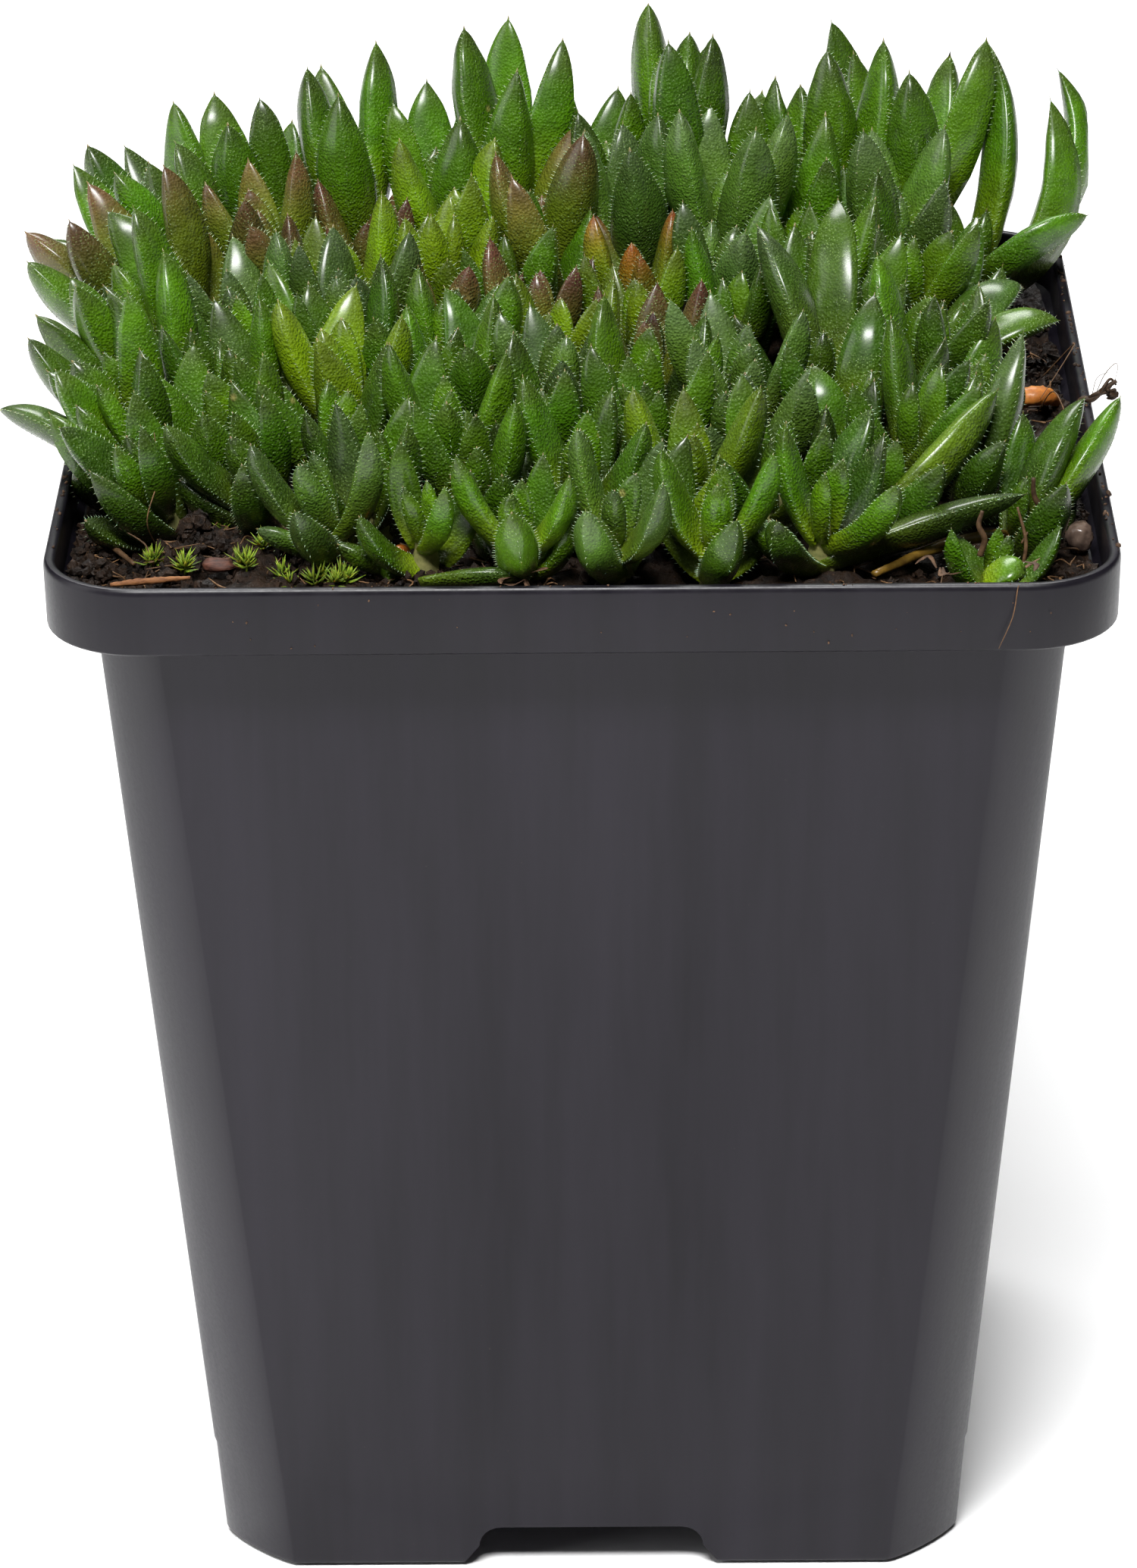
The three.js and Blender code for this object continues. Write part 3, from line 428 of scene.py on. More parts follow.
def head_axis(row):
    return unit(np.array([row[3], row[4], DRIFT_HEIGHT], float))


def head_foot(row):
    lift = max(0, row[5] - TALL_LEAF) * TALL_LIFT
    return np.array([row[1], row[2], soil_top(row[1], row[2]) + FIRST_PAIR + lift])


def new_leaf(shoot, base, mid, tip, width, face, tone):
    return {
        "shoot": shoot, "base": base, "mid": mid, "tip": tip, "width": width, "face": face, "tone": tone,
        "bow": BOW_SLACK * np.linalg.norm(mid - base), "reach": np.linalg.norm(tip - base),
    }


def rows_of(shoot):
    return [row for row in HEADS if row[0] == shoot]


def feature_leaf(row):
    shoot, head, mid, tip, width, tone = row
    base = head_foot(rows_of(shoot)[head])
    mid, tip = np.array(mid, float), np.array(tip, float)
    out = unit((mid - base) * [1, 1, 0])
    lean = math.atan2(math.hypot(tip[0] - base[0], tip[1] - base[1]), tip[2] - base[2])
    face = np.array([0, 0, math.sin(lean)]) - math.cos(lean) * out
    return {**new_leaf(shoot, base, mid, tip, width, face, tone), "placed": True}


def leaf_at(shoot, base, axis, out, spread, length, width, tone):
    """A leaf from its base on the axis, bowed outwards and then up."""
    def along(angle):
        return axis * math.cos(angle) + out * math.sin(angle)
    start = base + out * ROOT_OFFSET
    mid = start + along(spread * BOW_SPREAD + BOW_OPEN) * length * BOW_PLACE
    tip = start + along(spread) * length
    face = axis * math.sin(spread) - out * math.cos(spread)
    return new_leaf(shoot, start, mid, tip, width, face, tone)


def outward(axis, azimuth):
    out = np.array([math.cos(azimuth), math.sin(azimuth), 0.0])
    return unit(out - axis * out.dot(axis))


def head_leaves(row, draw):
    """The leaves of one head, in crossed pairs up its axis."""
    shoot, _, _, _, _, long, pairs, opening, turn, tone = row
    axis = head_axis(row)
    foot = head_foot(row)
    leaves = []
    for pair in range(pairs):
        base = foot + axis * pair * PAIR_STEP
        for side in range(2):
            azimuth = math.radians(turn + 90 * pair + 180 * side + TURN_PLAY * (next(draw) - 0.5))
            spread = math.radians(opening * (1 - CLOSING * pair) + SPREAD_PLAY * (next(draw) - SPREAD_SHIFT))
            length = long * GROWTH[pair] * (SHORTEST + LENGTH_PLAY * next(draw))
            width = min(length * LEAF_WIDTH, BROADEST)
            leaves.append(leaf_at(shoot, base, axis, outward(axis, azimuth), spread, length, width, tone))
    return leaves


def leaf_profile(s):
    """Width along the leaf as a share of its widest place, while it finds room."""
    low = ROOT_WIDTH + (1 - ROOT_WIDTH) * np.sin(np.clip(s / WIDEST, 0, 1) * math.pi / 2)
    high = (1 - np.clip((s - WIDEST) / (1 - WIDEST), 0, 1) ** TIP_TAPER) ** TIP_ROUND
    return np.where(s < WIDEST, low, high)


def leaf_frames(base, mid, tip, face, s):
    """Centres, upper face directions, side vectors and runs of many leaves at shares of their length."""
    s = s[None, :, None]
    base, mid, tip, face = (v[:, None] for v in (base, mid, tip, face))
    centre = base * (1 - s) ** 2 + mid * 2 * s * (1 - s) + tip * s ** 2
    run = unit((mid - base) * (1 - s) + (tip - mid) * s)
    up = unit(face - run * (face * run).sum(-1, keepdims=True))
    return centre, up, np.cross(run, up), run


def leaf_balls(state):
    """A row of balls down the middle of each leaf and one near each margin."""
    centre, up, side, _ = leaf_frames(*(state[key] for key in BONES), SAMPLES)
    width = state["width"][:, None, None] * leaf_profile(SAMPLES)[None, :, None]
    middle = centre - up * KEEL_DROP * width
    edges = [centre + side * sign * MARGIN_PLACE * width + up * MARGIN_BALL_RISE * width for sign in (-1, 1)]
    places = np.stack([middle, *edges], axis=2)
    radii = np.stack([KEEL_BALL * width[..., 0], *(MARGIN_BALL * width[..., 0],) * 2], axis=2)
    n = len(width)
    return places.reshape(n, -1, 3), radii.reshape(n, -1)


BALL_PLACES = np.repeat(SAMPLES, 3)


def weights(s):
    """How much the bow and the tip move when the leaf is pushed at s."""
    b, c = 2 * s * (1 - s), s * s
    q = np.maximum(b * b + c * c, STIFFEST)
    return b / q, c / q


def near_pairs(state):
    middle = leaf_frames(*(state[key] for key in BONES), np.array([LEAF_MIDDLE]))[0][:, 0]
    far = np.linalg.norm(middle[:, None] - middle[None], axis=-1)
    room = (state["reach"][:, None] + state["reach"][None]) / 2 + NEAR_ROOM
    free = state["free"][:, None] | state["free"][None]
    return np.argwhere(np.triu((far < room) & free, 1))


def leaf_pushes(state, places, radii, pairs, moves):
    """Pushes each near pair of leaves apart at its deepest overlap."""
    low, high = (places - radii[..., None]).min(1), (places + radii[..., None]).max(1)
    i, j = pairs.T
    meet = ((low[i] < high[j] + SETTLE_GAP) & (low[j] < high[i] + SETTLE_GAP)).all(1)
    i, j = i[meet], j[meet]
    same = state["shoot"][i] == state["shoot"][j]
    a, b = places[i], places[j]
    square = (a ** 2).sum(-1)[:, :, None] + (b ** 2).sum(-1)[:, None] - 2 * a @ b.transpose(0, 2, 1)
    far = np.sqrt(np.maximum(square, 1e-6))
    room = radii[i][:, :, None] + radii[j][:, None] + np.where(same, 0, SETTLE_GAP)[:, None, None]
    depth = room - far
    rooted = BALL_PLACES < ROOTED_PART
    depth[same[:, None, None] & rooted[None, :, None] & rooted[None, None]] = -1
    best = depth.reshape(len(i), -1).argmax(1)
    p, q = best // len(BALL_PLACES), best % len(BALL_PLACES)
    k = np.arange(len(i))
    hit = depth[k, p, q] > 0
    i, j, p, q, k = i[hit], j[hit], p[hit], q[hit], k[hit]
    push = (a[k, p] - b[k, q]) * (depth[k, p, q] / far[k, p, q])[:, None]
    for index, spot, sign in ((i, p, 1), (j, q, -1)):
        bow, tip = weights(BALL_PLACES[spot])
        np.add.at(moves[0], index, push * (bow * LEAF_GIVE * sign)[:, None])
        np.add.at(moves[1], index, push * (tip * LEAF_GIVE * sign)[:, None])


def wall_pushes(places, radii, moves):
    """Keeps leaves on the soil, inside the wall or above the rim."""
    x, y, z = places[..., 0], places[..., 1], places[..., 2]
    push = np.zeros_like(places)
    reach = np.maximum(abs(x), abs(y))
    inside = RIM_HALF - WALL - GAP - WALL_ROOM - radii
    above = POT_HEIGHT + GAP + RIM_ROOM + radii
    touching = (reach > inside) & (z < above)
    over = touching & (above - z < (reach - inside) * OVER_RIM)
    push[..., 2][over] = (above - z)[over]
    back = touching & ~over
    wide = abs(x) > abs(y)
    push[..., 0][back & wide] = (np.sign(x) * (inside - reach))[back & wide]
    push[..., 1][back & ~wide] = (np.sign(y) * (inside - reach))[back & ~wide]
    rise = soil_top(x, y) + SOIL_ROOM + radii - z
    push[..., 2] = np.where(reach < RIM_HALF, np.maximum(push[..., 2], rise), push[..., 2])
    bow, tip = weights(BALL_PLACES)
    moves[0] += (push * (bow * WALL_GIVE)[None, :, None]).sum(1)
    moves[1] += (push * (tip * WALL_GIVE)[None, :, None]).sum(1)


def clamp(vectors, longest):
    size = np.linalg.norm(vectors, axis=1, keepdims=True)
    return vectors * np.minimum(1, np.asarray(longest).reshape(-1, 1) / np.maximum(size, 1e-9))


def settle(leaves, fixed, rounds):
    """Crowded leaves push each other aside for a number of rounds. The fixed ones don't move."""
    every = fixed + leaves
    state = {key: np.array([leaf[key] for leaf in every], float)
             for key in (*BONES, "width", "bow", "reach", "shoot")}
    free = np.arange(len(every)) >= len(fixed)
    state["free"] = free
    rest_mid, rest_tip = state["mid"].copy(), state["tip"].copy()
    for round_number in range(rounds):
        if round_number % NEAR_ROUNDS == 0:
            pairs = near_pairs(state)
        places, radii = leaf_balls(state)
        moves = np.zeros((2, len(every), 3))
        leaf_pushes(state, places, radii, pairs, moves)
        wall_pushes(places, radii, moves)
        mid = state["mid"] + clamp(moves[0], BOW_STEP)
        tip = state["tip"] + clamp(moves[1], TIP_STEP)
        mid += (rest_mid - mid) * SPRING
        tip += (rest_tip - tip) * SPRING
        tip = state["base"] + clamp(tip - state["base"], state["reach"])
        mid = state["base"] + clamp(mid - state["base"], state["bow"])
        state["mid"][free] = mid[free]
        state["tip"][free] = tip[free]
    for leaf, mid, tip in zip(every, state["mid"], state["tip"]):
        leaf["mid"], leaf["tip"] = mid, tip


draw = seeded(LEAF_SEED)
main_leaves = [leaf for row in HEADS for leaf in head_leaves(row, draw)]
main_leaves += [feature_leaf(row) for row in FEATURE_LEAVES]
settle(main_leaves, [], SETTLE_ROUNDS)

# Leaves that are shorter here than in the solids, so that the dead leaf at the right shows:
# shoot number, tip across and along the pot, share of the length
SHORTENED = [(31, 41.5, -6.9, 0.62), (35, 37.9, -10.4, 0.8)]
TIP_MATCH = 0.5


def shorten(leaf, share):
    for key in ("mid", "tip"):
        leaf[key] = leaf["base"] + (leaf[key] - leaf["base"]) * share
    leaf["reach"] *= share


for shoot, tip_x, tip_y, share in SHORTENED:
    for leaf in main_leaves:
        off = math.hypot(leaf["tip"][0] - tip_x, leaf["tip"][1] - tip_y)
        if leaf["shoot"] == shoot and off < TIP_MATCH:
            shorten(leaf, share)


# Small leaves that the solids leave out: buds in the heads and old leaves round their feet.
# Lengths are shares of the head's longest leaf, and widths of their own length.

SMALL_FROM = 15
SMALL_ROUNDS = 60
BUD_RISE = 0.9
BUD_LENGTH = 0.6
BUD_LENGTH_PLAY = (0.9, 1.1)
BUD_WIDTH = 0.34
BUD_TURN_PLAY = 10
BUD_OPENING = 7
BUD_OPENING_PLAY = 2
OLD_BEFORE = -14
OLD_UPRIGHT = 1.5
OLD_RISE = 0.9
OLD_LENGTH = (0.6, 0.86)
OLD_WIDTH = 0.36
OLD_OPENING = (34, 60)


def bud_leaves(row, rng):
    """The two youngest leaves in the middle of a head."""
    shoot, _, _, _, _, long, pairs, _, turn, tone = row
    axis = head_axis(row)
    base = head_foot(row) + axis * max(pairs - 1, 0) * PAIR_STEP + axis * BUD_RISE
    leaves = []
    for side in range(2):
        azimuth = math.radians(turn + 90 * pairs + 180 * side + rng.uniform(-BUD_TURN_PLAY, BUD_TURN_PLAY))
        length = min(long, SMALL_FROM) * BUD_LENGTH * rng.uniform(*BUD_LENGTH_PLAY)
        spread = math.radians(BUD_OPENING + rng.uniform(-BUD_OPENING_PLAY, BUD_OPENING_PLAY))
        out = outward(axis, azimuth)
        leaf = leaf_at(shoot, base, axis, out, spread, length, length * BUD_WIDTH, tone)
        leaves.append({**leaf, "age": "young"})
    return leaves


def old_leaf(row, rng):
    """A low leaf that spreads out at the foot of a head."""
    shoot, x, y, _, _, long, _, _, turn, tone = row
    axis = unit(head_axis(row) + [0, 0, OLD_UPRIGHT])
    foot = head_foot(row) * [1, 1, 0] + [0, 0, soil_top(x, y) + OLD_RISE]
    out = outward(axis, math.radians(turn + rng.uniform(0, 360)))
    length = min(long, SMALL_FROM) * rng.uniform(*OLD_LENGTH)
    spread = math.radians(rng.uniform(*OLD_OPENING))
    leaf = leaf_at(shoot, foot, axis, out, spread, length, length * OLD_WIDTH, tone)
    return {**leaf, "age": "old"}


small_draw = draws("small leaves")
small_leaves = [leaf for row in HEADS for leaf in bud_leaves(row, small_draw)]
small_leaves += [old_leaf(row, small_draw) for row in HEADS if row[2] < OLD_BEFORE]
settle(small_leaves, main_leaves, SMALL_ROUNDS)


# Smooth noise

HASH_X, HASH_Y, HASH_Z = 73856093, 19349663, 83492791
HASH_SEED = 2654435761
HASH_MIX = 1274126177
LOW_BITS = 0xFFFF


def lattice_noise(points, size, seed=0):
    """Noise from -1 to 1 that is smooth between the corners of a lattice."""
    place = np.asarray(points, float) / size
    cell = np.floor(place).astype(np.int64)
    share = ease(place - cell)
    total = np.zeros(len(place))
    for corner in range(8):
        step = np.array([corner & 1, corner >> 1 & 1, corner >> 2 & 1])
        x, y, z = (cell + step).T
        mixed = (x * HASH_X) ^ (y * HASH_Y) ^ (z * HASH_Z) ^ (seed * HASH_SEED)
        mixed = (mixed ^ (mixed >> 13)) * HASH_MIX & 0x7FFFFFFF
        mixed = (mixed ^ (mixed >> 15)) & LOW_BITS
        total += np.where(step, share, 1 - share).prod(1) * mixed / LOW_BITS
    return total * 2 - 1


# Leaf skins: rings and points round, then shares of the width or the length

MAIN_MESH = (20, 16)
SMALL_MESH = (12, 10)
FALLEN_MESH = (14, 12)
RING_CROWD = 1.8
MARGIN_HEIGHT = 0.2
MARGIN_EDGE = 0.92
UPPER_BULGE = (0.05, 0.2)
LOWER_DEPTH = (0.5, 0.62)
KEEL_SHARE = (0.28, 0.55)
SKIN_ROOT = 0.7
SKIN_WIDEST = 0.46
SKIN_TAPER = (2.0, 3.0)
SKIN_ROUND = 0.8
SKIN_SWELL = 1.05
SKIN_LENGTH = 0.98
LUMP_SIZE = 1.9
LUMP_DEPTH = 0.022
LUMP_SEED = 3

# How leaves differ: roll in degrees, sway and tip as shares of the length
ROLL_PLAY = 20
SWAY_PLAY = 0.045
TIP_PLAY = 0.06
TIP_NOD = 0.035
LEAN_AT_BOW = 0.4
RUST_CHANCE = 0.3

# Colours: play of shade and hue, where the root's colour ends and the tip's is full, and the shares
# of the blade's and the root's colour in young and old leaves
SHADE_PLAY = (0.62, 1.52)
HUE_PLAY = (0.92, 1.08)
ROOT_FADE = (0.42, 0.68)
TIP_START_PLAY = 0.07
TIP_FULL = 0.95
FADE_POWER = 1.2
AGE_TINTS = {"young": (1.1, 0.08), "old": (0.8, 0.1)}
TIP_COLOUR = (0.24, 0.15, 0.07)
TOOTH_COLOUR = (0.33, 0.46, 0.24)
# Painted shade: leaves are darker low in the mat, near the soil, and less so towards its front edge
DEEP = 15.0
PAINTED_DEEP_SHADE = 0.92
OPEN_FRONT = -41.0
OPEN_FADE = 12.0

# Teeth: rows by angle round the leaf, start along it and density, then places and sizes
TOOTH_ROWS = [(0.0, 0.12, 1.0), (math.pi, 0.12, 1.0), (1.5 * math.pi, 0.62, 0.8)]
TOOTH_SPACING = 0.43
TOOTH_END = 0.98
TOOTH_LAST = 0.995
TOOTH_PLAY = 0.008
TOOTH_SUNK = 0.03
TOOTH_LEAN = 0.45
TOOTH_TURN = 0.1
TOOTH_RADIUS = 0.034
TOOTH_LENGTH = (0.28, 0.48)
FULL_TOOTH_WIDTH = 3.6
ARC_LENGTH = 1.05

# Specks: low pale bumps
SPECKS_PER_MM = 8.0
SPECK_SPAN = (0.1, 0.97)
SPECK_SIZE = (0.025, 0.045)
SPECK_LENGTH = 1.1
SPECK_RADIUS = 0.8
SPECK_SUNK = 0.02
SPECK_LEAN = 0.3

# Material slots of a shoot
BLADE_SLOT, TOOTH_SLOT, STEM_SLOT, RUNNER_SLOT = range(4)


def skin_width(s, taper):
    low = SKIN_ROOT + (1 - SKIN_ROOT) * np.sin(np.clip(s / SKIN_WIDEST, 0, 1) * math.pi / 2)
    high = (1 - np.clip((s - SKIN_WIDEST) / (1 - SKIN_WIDEST), 0, 1) ** taper) ** SKIN_ROUND
    return np.where(s < SKIN_WIDEST, low, high) * SKIN_SWELL


def between(pair, s):
    return pair[0] + (pair[1] - pair[0]) * s


def leaf_places(leaf, s, angle):
    """Points of a leaf's skin, the directions away from its middle and its run, at shares and angles."""
    frames = [leaf[key][None] for key in BONES]
    centre, up, side, run = (part[0] for part in leaf_frames(*frames, s * SKIN_LENGTH))
    width = (leaf["width"] * skin_width(s, leaf["taper"]))[:, None]
    c, v = np.cos(angle), np.sin(angle)
    keel = between(KEEL_SHARE, s)[:, None]
    upper = between(UPPER_BULGE, s)[:, None] * width * v
    lower = -between(LOWER_DEPTH, s)[:, None] * width * ((1 - keel) * abs(v) + keel * (1 - abs(c)))
    height = MARGIN_HEIGHT * width + np.where(v > 0, upper, lower)
    across = 0.5 * width * np.sign(c) * abs(c) ** MARGIN_EDGE
    points = centre[:, None] + side[:, None] * across[..., None] + up[:, None] * height[..., None]
    away = side[:, None] * c[..., None] + up[:, None] * v[..., None]
    return points, unit(away), run


def leaf_colours(leaf, s, around, rng):
    *tints, start = TONES[leaf["tone"]]
    root, blade, tip = (np.array(c) for c in tints)
    shade = rng.uniform(*SHADE_PLAY)
    blade = blade * shade * rng.uniform(*HUE_PLAY, 3)
    if "age" in leaf:
        own, pale = AGE_TINTS[leaf["age"]]
        blade = blade * own + root * pale
    low = (np.clip(1 - s / rng.uniform(*ROOT_FADE), 0, 1) ** FADE_POWER)[:, None]
    tip_start = s - start - rng.uniform(-TIP_START_PLAY, TIP_START_PLAY)
    high = (np.clip(tip_start / (TIP_FULL - start), 0, 1) ** FADE_POWER)[:, None]
    colour = blade * (1 - low) + root * low
    colour = colour * (1 - high) + tip * shade * high
    return np.repeat(colour[:, None], around, 1)


def painted_depth_shade(points):
    """Painted shade: leaves are darker deep in the mat, low down and away from its front edge."""
    x, y, z = points[..., 0], points[..., 1], points[..., 2]
    share = ease(np.clip((z - soil_top(x, y)) / DEEP, 0, 1))
    inner = np.clip((y - OPEN_FRONT) / OPEN_FADE, 0, 1)
    return (1 - PAINTED_DEEP_SHADE * inner * (1 - share))[..., None]


def cones(build, feet, runs, lengths, radii, colour, skin):
    """Small three-sided cones."""
    runs = unit(runs)
    aim = np.where(abs(runs[:, 2:]) < STEEP_CONE, [[0.0, 0, 1]], [[1.0, 0, 0]])
    side = unit(np.cross(runs, aim))
    up = np.cross(side, runs)
    rings = []
    for k in range(3):
        a = k * 2 * math.pi / 3
        rings.append(feet + (side * math.cos(a) + up * math.sin(a)) * radii[:, None])
    points = np.stack([*rings, feet + runs * lengths[:, None]], axis=1).reshape(-1, 3)
    start = np.arange(len(feet))[:, None] * 4
    faces = np.concatenate([start + [0, 1, 3], start + [1, 2, 3], start + [2, 0, 3]])
    build.add(points, [faces], colour, skin)


def grown(leaf, rng):
    """A leaf with its own taper, roll, sway and tip. The leaves that stand out keep their tips."""
    run = unit(leaf["tip"] - leaf["base"])
    roll = math.radians(rng.normal(0, ROLL_PLAY))
    face = leaf["face"] * math.cos(roll) + np.cross(run, leaf["face"]) * math.sin(roll)
    side = np.cross(run, face)
    sway = side * rng.normal(0, SWAY_PLAY) * leaf["reach"]
    lean = (side * rng.normal(0, TIP_PLAY) + face * rng.normal(0, TIP_NOD)) * leaf["reach"]
    if leaf.get("placed"):
        lean = lean * 0
    tone = leaf["tone"]
    if tone == "rust":
        tone = "rust" if rng.random() < RUST_CHANCE else "flame"
    mid = leaf["mid"] + sway + lean * LEAN_AT_BOW
    tip = leaf["tip"] + lean
    return {**leaf, "face": face, "mid": mid, "tip": tip, "taper": rng.uniform(*SKIN_TAPER), "tone": tone}


def leaf_skin(build, leaf, rng, mesh):
    rings, around = mesh
    leaf = grown(leaf, rng)
    s = 1 - (1 - np.linspace(0, 1, rings + 1)[:-1]) ** RING_CROWD
    angle = np.broadcast_to(np.arange(around) * 2 * math.pi / around, (rings, around))
    points, away, _ = leaf_places(leaf, s, angle)
    lump = lattice_noise(points.reshape(-1, 3), LUMP_SIZE, LUMP_SEED).reshape(rings, around, 1)
    points = points + away * lump * LUMP_DEPTH * leaf["width"]
    # The leaf's colours, times painted shade low in the mat
    colours = leaf_colours(leaf, s, around, rng) * painted_depth_shade(points)
    every = np.vstack([points.reshape(-1, 3), points[0].mean(0), leaf["tip"]])
    tints = np.vstack([colours.reshape(-1, 3), colours[0, 0], TIP_COLOUR])
    count = rings * around
    caps = [fan(0, around, count, True), fan(count - around, around, count + 1)]
    build.add(every, [ring_faces(rings, around), np.vstack(caps)], tints, BLADE_SLOT)
    leaf_teeth(build, leaf, rng)
    leaf_specks(build, leaf, rng)


def leaf_teeth(build, leaf, rng):
    """Pale teeth along both margins, and along the keel near the tip."""
    long = leaf["reach"] * ARC_LENGTH
    feet, runs = [], []
    for at, first, share in TOOTH_ROWS:
        count = max(3, int(long * (TOOTH_END - first) / TOOTH_SPACING * share))
        s = np.linspace(first, TOOTH_END, count) + rng.uniform(-TOOTH_PLAY, TOOTH_PLAY, count)
        points, away, run = leaf_places(leaf, np.clip(s, 0, TOOTH_LAST), np.full((count, 1), at))
        feet.append(points[:, 0] - away[:, 0] * TOOTH_SUNK)
        runs.append(away[:, 0] + run * TOOTH_LEAN + rng.normal(0, TOOTH_TURN, (count, 3)))
    feet, runs = np.vstack(feet), np.vstack(runs)
    size = rng.uniform(*TOOTH_LENGTH, len(feet)) * min(1.0, leaf["width"] / FULL_TOOTH_WIDTH)
    cones(build, feet, runs, size, np.full(len(feet), TOOTH_RADIUS), TOOTH_COLOUR, TOOTH_SLOT)


def leaf_specks(build, leaf, rng):
    count = int(leaf["reach"] * SPECKS_PER_MM)
    s = rng.uniform(*SPECK_SPAN, count)
    points, away, run = leaf_places(leaf, s, rng.uniform(0, 2 * math.pi, (count, 1)))
    size = rng.uniform(*SPECK_SIZE, count)
    feet = points[:, 0] - away[:, 0] * SPECK_SUNK
    runs = away[:, 0] + run * SPECK_LEAN
    cones(build, feet, runs, size * SPECK_LENGTH, size * SPECK_RADIUS, TOOTH_COLOUR, TOOTH_SLOT)


# Materials

# Sockets of a Mix node that serve its colours: share, first and second colour, and result
MIX_INPUTS = (0, 6, 7)
MIX_OUTPUT = 2


class Surface:
    """A material made of nodes, with short ways to add and join them."""

    def __init__(self, name):
        self.material = bpy.data.materials.new(name)
        self.material.use_nodes = True
        self.tree = self.material.node_tree
        self.shader = next(n for n in self.tree.nodes if n.type == "BSDF_PRINCIPLED")
        self.place = self.node("ShaderNodeTexCoord").outputs["Object"]

    def node(self, kind, settings=None, **inputs):
        node = self.tree.nodes.new(kind)
        for key, value in (settings or {}).items():
            setattr(node, key, value)
        for key, value in inputs.items():
            self.put(node.inputs[key.replace("_", " ")], value)
        return node

    def put(self, socket, value):
        if isinstance(value, bpy.types.NodeSocket):
            self.tree.links.new(value, socket)
        elif isinstance(value, tuple) and len(value) == 3 and socket.type == "RGBA":
            socket.default_value = (*value, 1)
        else:
            socket.default_value = value

    def set(self, **inputs):
        for key, value in inputs.items():
            self.put(self.shader.inputs[key.replace("_", " ")], value)

    def stretched(self, x, y, z):
        mapping = self.node("ShaderNodeMapping", Scale=(x, y, z), Vector=self.place)
        return mapping.outputs["Vector"]

    def height(self):
        return self.node("ShaderNodeSeparateXYZ", Vector=self.place).outputs["Z"]

    def noise(self, size, detail=3.0, rough=0.55, where=None):
        node = self.node("ShaderNodeTexNoise", Scale=1 / (size * MM), Detail=detail, Roughness=rough,
                         Vector=where or self.place)
        return node.outputs[0]

    def cells(self, size, feature="F1"):
        node = self.node("ShaderNodeTexVoronoi", {"feature": feature},
                         Scale=1 / (size * MM), Vector=self.place)
        return node.outputs["Distance"]

    def span(self, value, low, high, to_low=0.0, to_high=1.0):
        node = self.node("ShaderNodeMapRange", Value=value)
        for key, number in zip(("From Min", "From Max", "To Min", "To Max"), (low, high, to_low, to_high)):
            node.inputs[key].default_value = number
        return node.outputs[0]

    def maths(self, operation, a, b=0.0):
        node = self.tree.nodes.new("ShaderNodeMath")
        node.operation = operation
        self.put(node.inputs[0], a)
        self.put(node.inputs[1], b)
        return node.outputs[0]

    def mix(self, share, a, b, blend="MIX"):
        node = self.tree.nodes.new("ShaderNodeMix")
        node.data_type = "RGBA"
        node.blend_type = blend
        for index, value in zip(MIX_INPUTS, (share, a, b)):
            self.put(node.inputs[index], value)
        return node.outputs[MIX_OUTPUT]

    def multiply(self, a, b):
        return self.mix(1.0, a, b, "MULTIPLY")

    def grey(self, value):
        return self.node("ShaderNodeCombineColor", Red=value, Green=value, Blue=value).outputs[0]

    def tone(self):
        return self.node("ShaderNodeAttribute", {"attribute_name": "tone"}).outputs["Color"]

    def relief(self, *layers):
        """Bumps from pairs of a height and its depth in millimetres, one over the other."""
        normal = None
        for height, depth in layers:
            bump = self.node("ShaderNodeBump", Height=height, Strength=1.0, Distance=depth * MM)
            if normal:
                self.put(bump.inputs["Normal"], normal)
            normal = bump.outputs["Normal"]
        self.set(Normal=normal)


# Numbers of a material: a texture's size in millimetres, the part of its range that is used and what
# that becomes, and the depth of the relief in millimetres

# Where the rim band starts, in metres, and how much darker its painted shade makes it
BAND_FOOT = (0.0936, 0.0942)
RIM_BAND_PAINTED_SHADE = 0.72


def leaf_material(name):
    surface = Surface(name)
    mottle = surface.span(surface.noise(1.7, 4), 0.3, 0.7, 0.74, 1.24)
    colour = surface.multiply(surface.tone(), surface.grey(mottle))
    speck = surface.span(surface.cells(0.24), 0.08, 0.34, 0.75, 0.0)
    speck = surface.maths("MULTIPLY", speck, surface.span(surface.noise(2.6, 2), 0.4, 0.62, 0.1, 1.0))
    colour = surface.mix(speck, colour, (0.22, 0.34, 0.10))
    scar = surface.span(surface.cells(9.0), 0.02, 0.05, 0.6, 0.0)
    colour = surface.mix(scar, colour, (0.30, 0.25, 0.08))
    surface.set(Base_Color=colour, Roughness=surface.span(surface.cells(0.2), 0.1, 0.5, 0.28, 0.6))
    surface.set(Subsurface_Weight=0.08, Subsurface_Scale=0.0008, Subsurface_Radius=(0.6, 1.0, 0.1))
    surface.set(Specular_IOR_Level=0.12, Coat_Weight=0.72, Coat_Roughness=0.25)
    surface.relief((surface.noise(0.9, 3), 0.06), (surface.cells(0.25), 0.12))
    return surface.material


def tooth_material(name):
    surface = Surface(name)
    surface.set(Base_Color=surface.mix(surface.noise(1.0, 2), surface.tone(), (0.50, 0.62, 0.42)))
    surface.set(Roughness=0.35, Subsurface_Weight=0.2, Subsurface_Scale=0.0003)
    return surface.material


